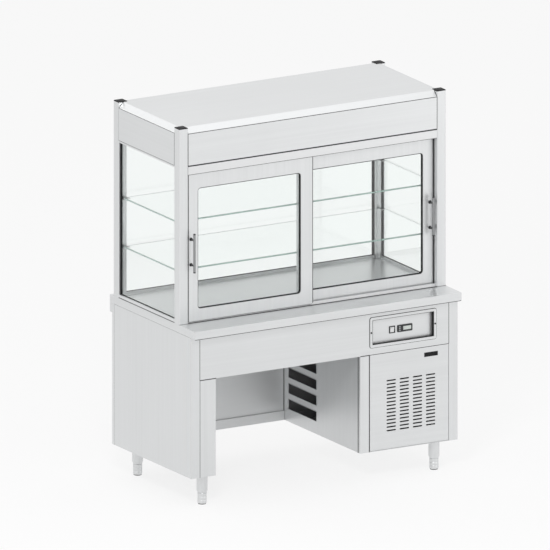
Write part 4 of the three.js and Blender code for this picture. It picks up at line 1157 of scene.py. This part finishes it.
def make_door_seals(rubber):
    """The header's seal and brush, the posts' buffers and the seal where the doors meet."""
    fascia = corners("fascia_front")[0].z
    header = corners("header_rail")[0].z
    door_low, door_high = corners("sliding_door_left")
    right_face = corners("sliding_door_right")[0].y
    front = post_square("front_left")[0].y
    left, right = post_square("front_left")[1].x, post_square("front_right")[0].x
    # The strips' black is also painted shade in the gaps under the fascia, the header and by the
    # posts
    seals = [
        slab(
            "seal", (left + EMBED, front - HEADER_SEAL_PROUD, fascia - HEADER_SEAL_HEIGHT),
            (right - EMBED, front + EMBED, fascia - EMBED), HEADER_SEAL_PROUD / 3, RUBBER_STEPS,
        ),
        slab(
            "brush", (left + EMBED, front + EMBED, header - BRUSH_DROP),
            (right - EMBED, front + BRUSH_DEPTH, header + EMBED), BRUSH_DROP / 6, RUBBER_STEPS,
        ),
    ]
    for x, way, start, face in (
        (left, 1, front + POST_CORNER / 2, door_low.y),
        (right, -1, right_face - BUFFER_DEPTH, right_face),
    ):
        near, far = sorted((x, x + way * DOOR_SEAL_WIDTH))
        seals.append(slab(
            "buffer", (near, start, door_low.z), (far, face - DOOR_SEAL_GAP, header),
            DOOR_SEAL_WIDTH / 5, RUBBER_STEPS,
        ))
    fit(joined("door_seals", seals, smooth=False), rubber)
    # The meeting seal's black is also painted shade where the doors' faces step
    seal = slab(
        "meeting_seal", (door_high.x - EMBED, door_low.y + EMBED, door_low.z + MEETING_SEAL_INSET),
        (door_high.x + MEETING_SEAL_WIDTH, door_low.y + MEETING_SEAL_DEPTH,
         header - BRUSH_DROP - EMBED),
        MEETING_SEAL_WIDTH / 4, RUBBER_STEPS,
    )
    fit(seal, rubber, "left_door")


# The bezel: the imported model's flange is wider than the one made here
PACKED_FLANGE = 0.019
BEZEL_FLANGE = 0.014
BEZEL_CORNER = 0.01
BEZEL_RECESS = 0.018
TUB_MARGIN = 0.004
TUB_WALL_BAND = 0.015
BEZEL_GASKET = 0.0012
BEZEL_GASKET_REACH = 0.0022
BEZEL_GASKET_INSET = 0.004
RECESS_SHADE = 0.0008
RECESS_SHADE_OUTER_CORNER = 0.0009
RECESS_SHADE_INNER_CORNER = 0.0006


def make_bezel(steel):
    """The bezel, whose tub, and the hole for it, reach out to the drawing's narrow flange."""
    low, high = corners("control_bezel")
    half = (high - low) / 2
    centre = centre_of("control_bezel")
    bezel = folded("control_bezel", steel)
    for piece in (bezel, bpy.data.objects["apron_skin"]):
        for vertex in piece.data.vertices:
            offset = vertex.co - centre
            if any(abs(offset[axis]) > half[axis] - PACKED_FLANGE + TUB_MARGIN for axis in (0, 2)):
                continue
            for axis in (0, 2):
                if abs(offset[axis]) > half[axis] - PACKED_FLANGE - TUB_WALL_BAND:
                    vertex.co[axis] += math.copysign(PACKED_FLANGE - BEZEL_FLANGE, offset[axis])


def make_bezel_gasket_and_recess_shade(rubber):
    """The gasket behind the bezel's flange, and a black sheet round the walls of its recess as
    painted shade for the recess's depth.
    """
    low, high = corners("control_bezel")
    face = corners("apron")[0].y
    bezel = (low.x, low.z, high.x, high.z)
    outer = rounded_points(*grown(bezel, BEZEL_GASKET_REACH), BEZEL_CORNER + BEZEL_GASKET_REACH)
    inner = rounded_points(*grown(bezel, -BEZEL_GASKET_INSET), BEZEL_CORNER - BEZEL_GASKET_INSET)
    gasket = frame_ring("bezel_gasket", outer, inner, face - BEZEL_GASKET, face - EMBED / 8)
    fit(gasket, rubber)
    # A black sheet on the recess walls: painted shade for the depth of the recess
    recess = grown(bezel, -BEZEL_FLANGE)
    outer = rounded_points(*grown(recess, RECESS_SHADE / 8), RECESS_SHADE_OUTER_CORNER)
    inner = rounded_points(*grown(recess, -RECESS_SHADE), RECESS_SHADE_INNER_CORNER)
    recess_shade = frame_ring("bezel_recess_painted_shade", outer, inner, low.y - RECESS_SHADE / 2, face + BEZEL_RECESS)
    fit(recess_shade, rubber)


PANE_EDGE = 0.0009


def glass_pane(node, clear, edge):
    """A pane with polished edges, which show the glass's own green."""
    pane = folded(node, clear, PANE_EDGE, smooth=False)
    low, high = corners(node)
    size = high - low
    thin = min(range(3), key=lambda index: size[index])
    second_finish(pane, edge, lambda normal: abs(normal[thin]) <= 0.5)


# Putting it all together

# The axis along which each sheet was brushed
GRAIN = {
    "worktop": "X", "side_panel_left": "Z", "side_panel_right": "Z", "apron": "X",
    "customer_panel": "X", "knee_lining": "Z", "compartment_jamb": "Z", "compartment_side": "Z",
    "compartment_floor": "X", "grille_door": "X", "door_pivot_lower": "Z",
    "door_pivot_upper": "Z", "roof": "X", "fascia_front": "X", "fascia_back": "X",
    "side_fascia_left": "Y", "side_fascia_right": "Y", "display_deck": "X", "ceiling_panel": "X",
    "sliding_door_left": "Z", "sliding_door_right": "Z",
}


def main():
    bpy.context.scene.view_settings.view_transform = "Standard"
    make_camera()
    make_world()
    make_floor()
    for light in LIGHTS:
        make_area_light(*light)

    # Each finish takes its name, its colour and its roughness first
    steel = {
        axis: brushed("brushed_steel_along_" + axis.lower(), GRAIN_STEEL, 0.34, axis)
        for axis in "XYZ"
    }
    aluminium = brushed("anodised_aluminium", GRAIN_ALUMINIUM, 0.4, "X", contrast=0.6)
    clear = glass("clear_glass", (0.975, 0.992, 0.986))
    edge_glass = moulded(
        "polished_glass_edge", (0.5, 0.68, 0.62), 0.2, grain_size=1200.0, depth=0.00001
    )
    black = moulded("black_plastic", (0.022, 0.023, 0.025), 0.42)
    pale = moulded("pale_plastic", (0.78, 0.79, 0.79), 0.38)
    grey = moulded("grey_plastic", (0.36, 0.37, 0.38), 0.45)
    rubber = moulded("dark_rubber", (0.03, 0.03, 0.032), 0.7, grain_size=500.0)
    lcd = moulded("display_window", (0.62, 0.66, 0.63), 0.16, grain_size=1500.0, depth=0.00001)
    sealant = moulded("joint_sealant", (0.05, 0.05, 0.052), 0.6, grain_size=500.0)
    enamel = painted("black_enamel", (0.03, 0.032, 0.035), 0.35)
    matt_black = moulded(
        "matt_black_plastic", (0.012, 0.012, 0.013), 0.6, grain_size=500.0, gloss=0.2
    )
    handle_steel = brushed("satin_handle", GRAIN_HANDLE, 0.3, "Z", contrast=0.8)
    copper = drawn_metal("drawn_copper", (0.83, 0.47, 0.32), 0.3, tarnish=0.72)
    fins = drawn_metal("fin_stock", (0.8, 0.81, 0.82), 0.42, tarnish=0.86)
    mill = brushed("mill_finish_steel", GRAIN_STEEL, 0.5, "X", contrast=0.6)

    for node, axis in GRAIN.items():
        folded(node, steel[axis])
    # The customer panel keeps its mill finish on the side that faces the knee hole
    second_finish(bpy.data.objects["customer_panel_skin"], mill, lambda normal: normal.y < -0.5)
    for corner in CORNERS:
        make_post_trim(corner, steel["Z"], matt_black, rubber)
        make_leg_and_foot(corner, steel["Z"], rubber)
    for side in ("left", "right"):
        make_handle(side, handle_steel, black)
        window_seals(side, rubber)
        glass_pane("door_glass_" + side, clear, edge_glass)
        glass_pane("side_glass_" + side, clear, edge_glass)
    for node in ("customer_glass", "shelf_lower", "shelf_upper"):
        glass_pane(node, clear, edge_glass)

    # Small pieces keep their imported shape, with finer edges than the sheets
    for node, finish, radius in (
        ("bottom_track", aluminium, 0.0006), ("header_rail", aluminium, 0.0006),
        ("switch_body", black, 0.0008), ("switch_rocker", pale, 0.0006),
        ("thermostat_body", black, 0.001), ("thermostat_window", lcd, 0.0004),
        ("thermostat_key_1", grey, 0.0006), ("thermostat_key_2", grey, 0.0006),
        ("thermostat_key_3", grey, 0.0006),
    ):
        folded(node, finish, radius)
    make_fastenings(matt_black)
    make_compressor(enamel, rubber, copper, black)
    # The condenser is black enamel, as many are; its black is also painted shade behind the grille's
    # slots
    make_coil("condenser", enamel, enamel)
    make_coil("evaporator_coil", fins, copper)
    make_fan("condenser_fan", aluminium, "Y")
    make_fan("evaporator_fan", aluminium, "Z")
    make_fan_guard(steel["X"])
    # The shroud's black enamel is also painted shade behind the grille's slots
    folded("fan_shroud", enamel, 0.0008)
    folded("evaporating_tray", grey, 0.001)
    make_line(copper)
    make_joint_beads(sealant)
    # The drip strip's black is also painted shadow under the worktop's overhang
    make_drip_and_shadow_strip(rubber)
    make_glazing_gaskets(rubber)
    make_door_seals(rubber)
    make_bezel(steel["X"])
    # The black on the bezel's recess walls is painted shade
    make_bezel_gasket_and_recess_shade(matt_black)


main()
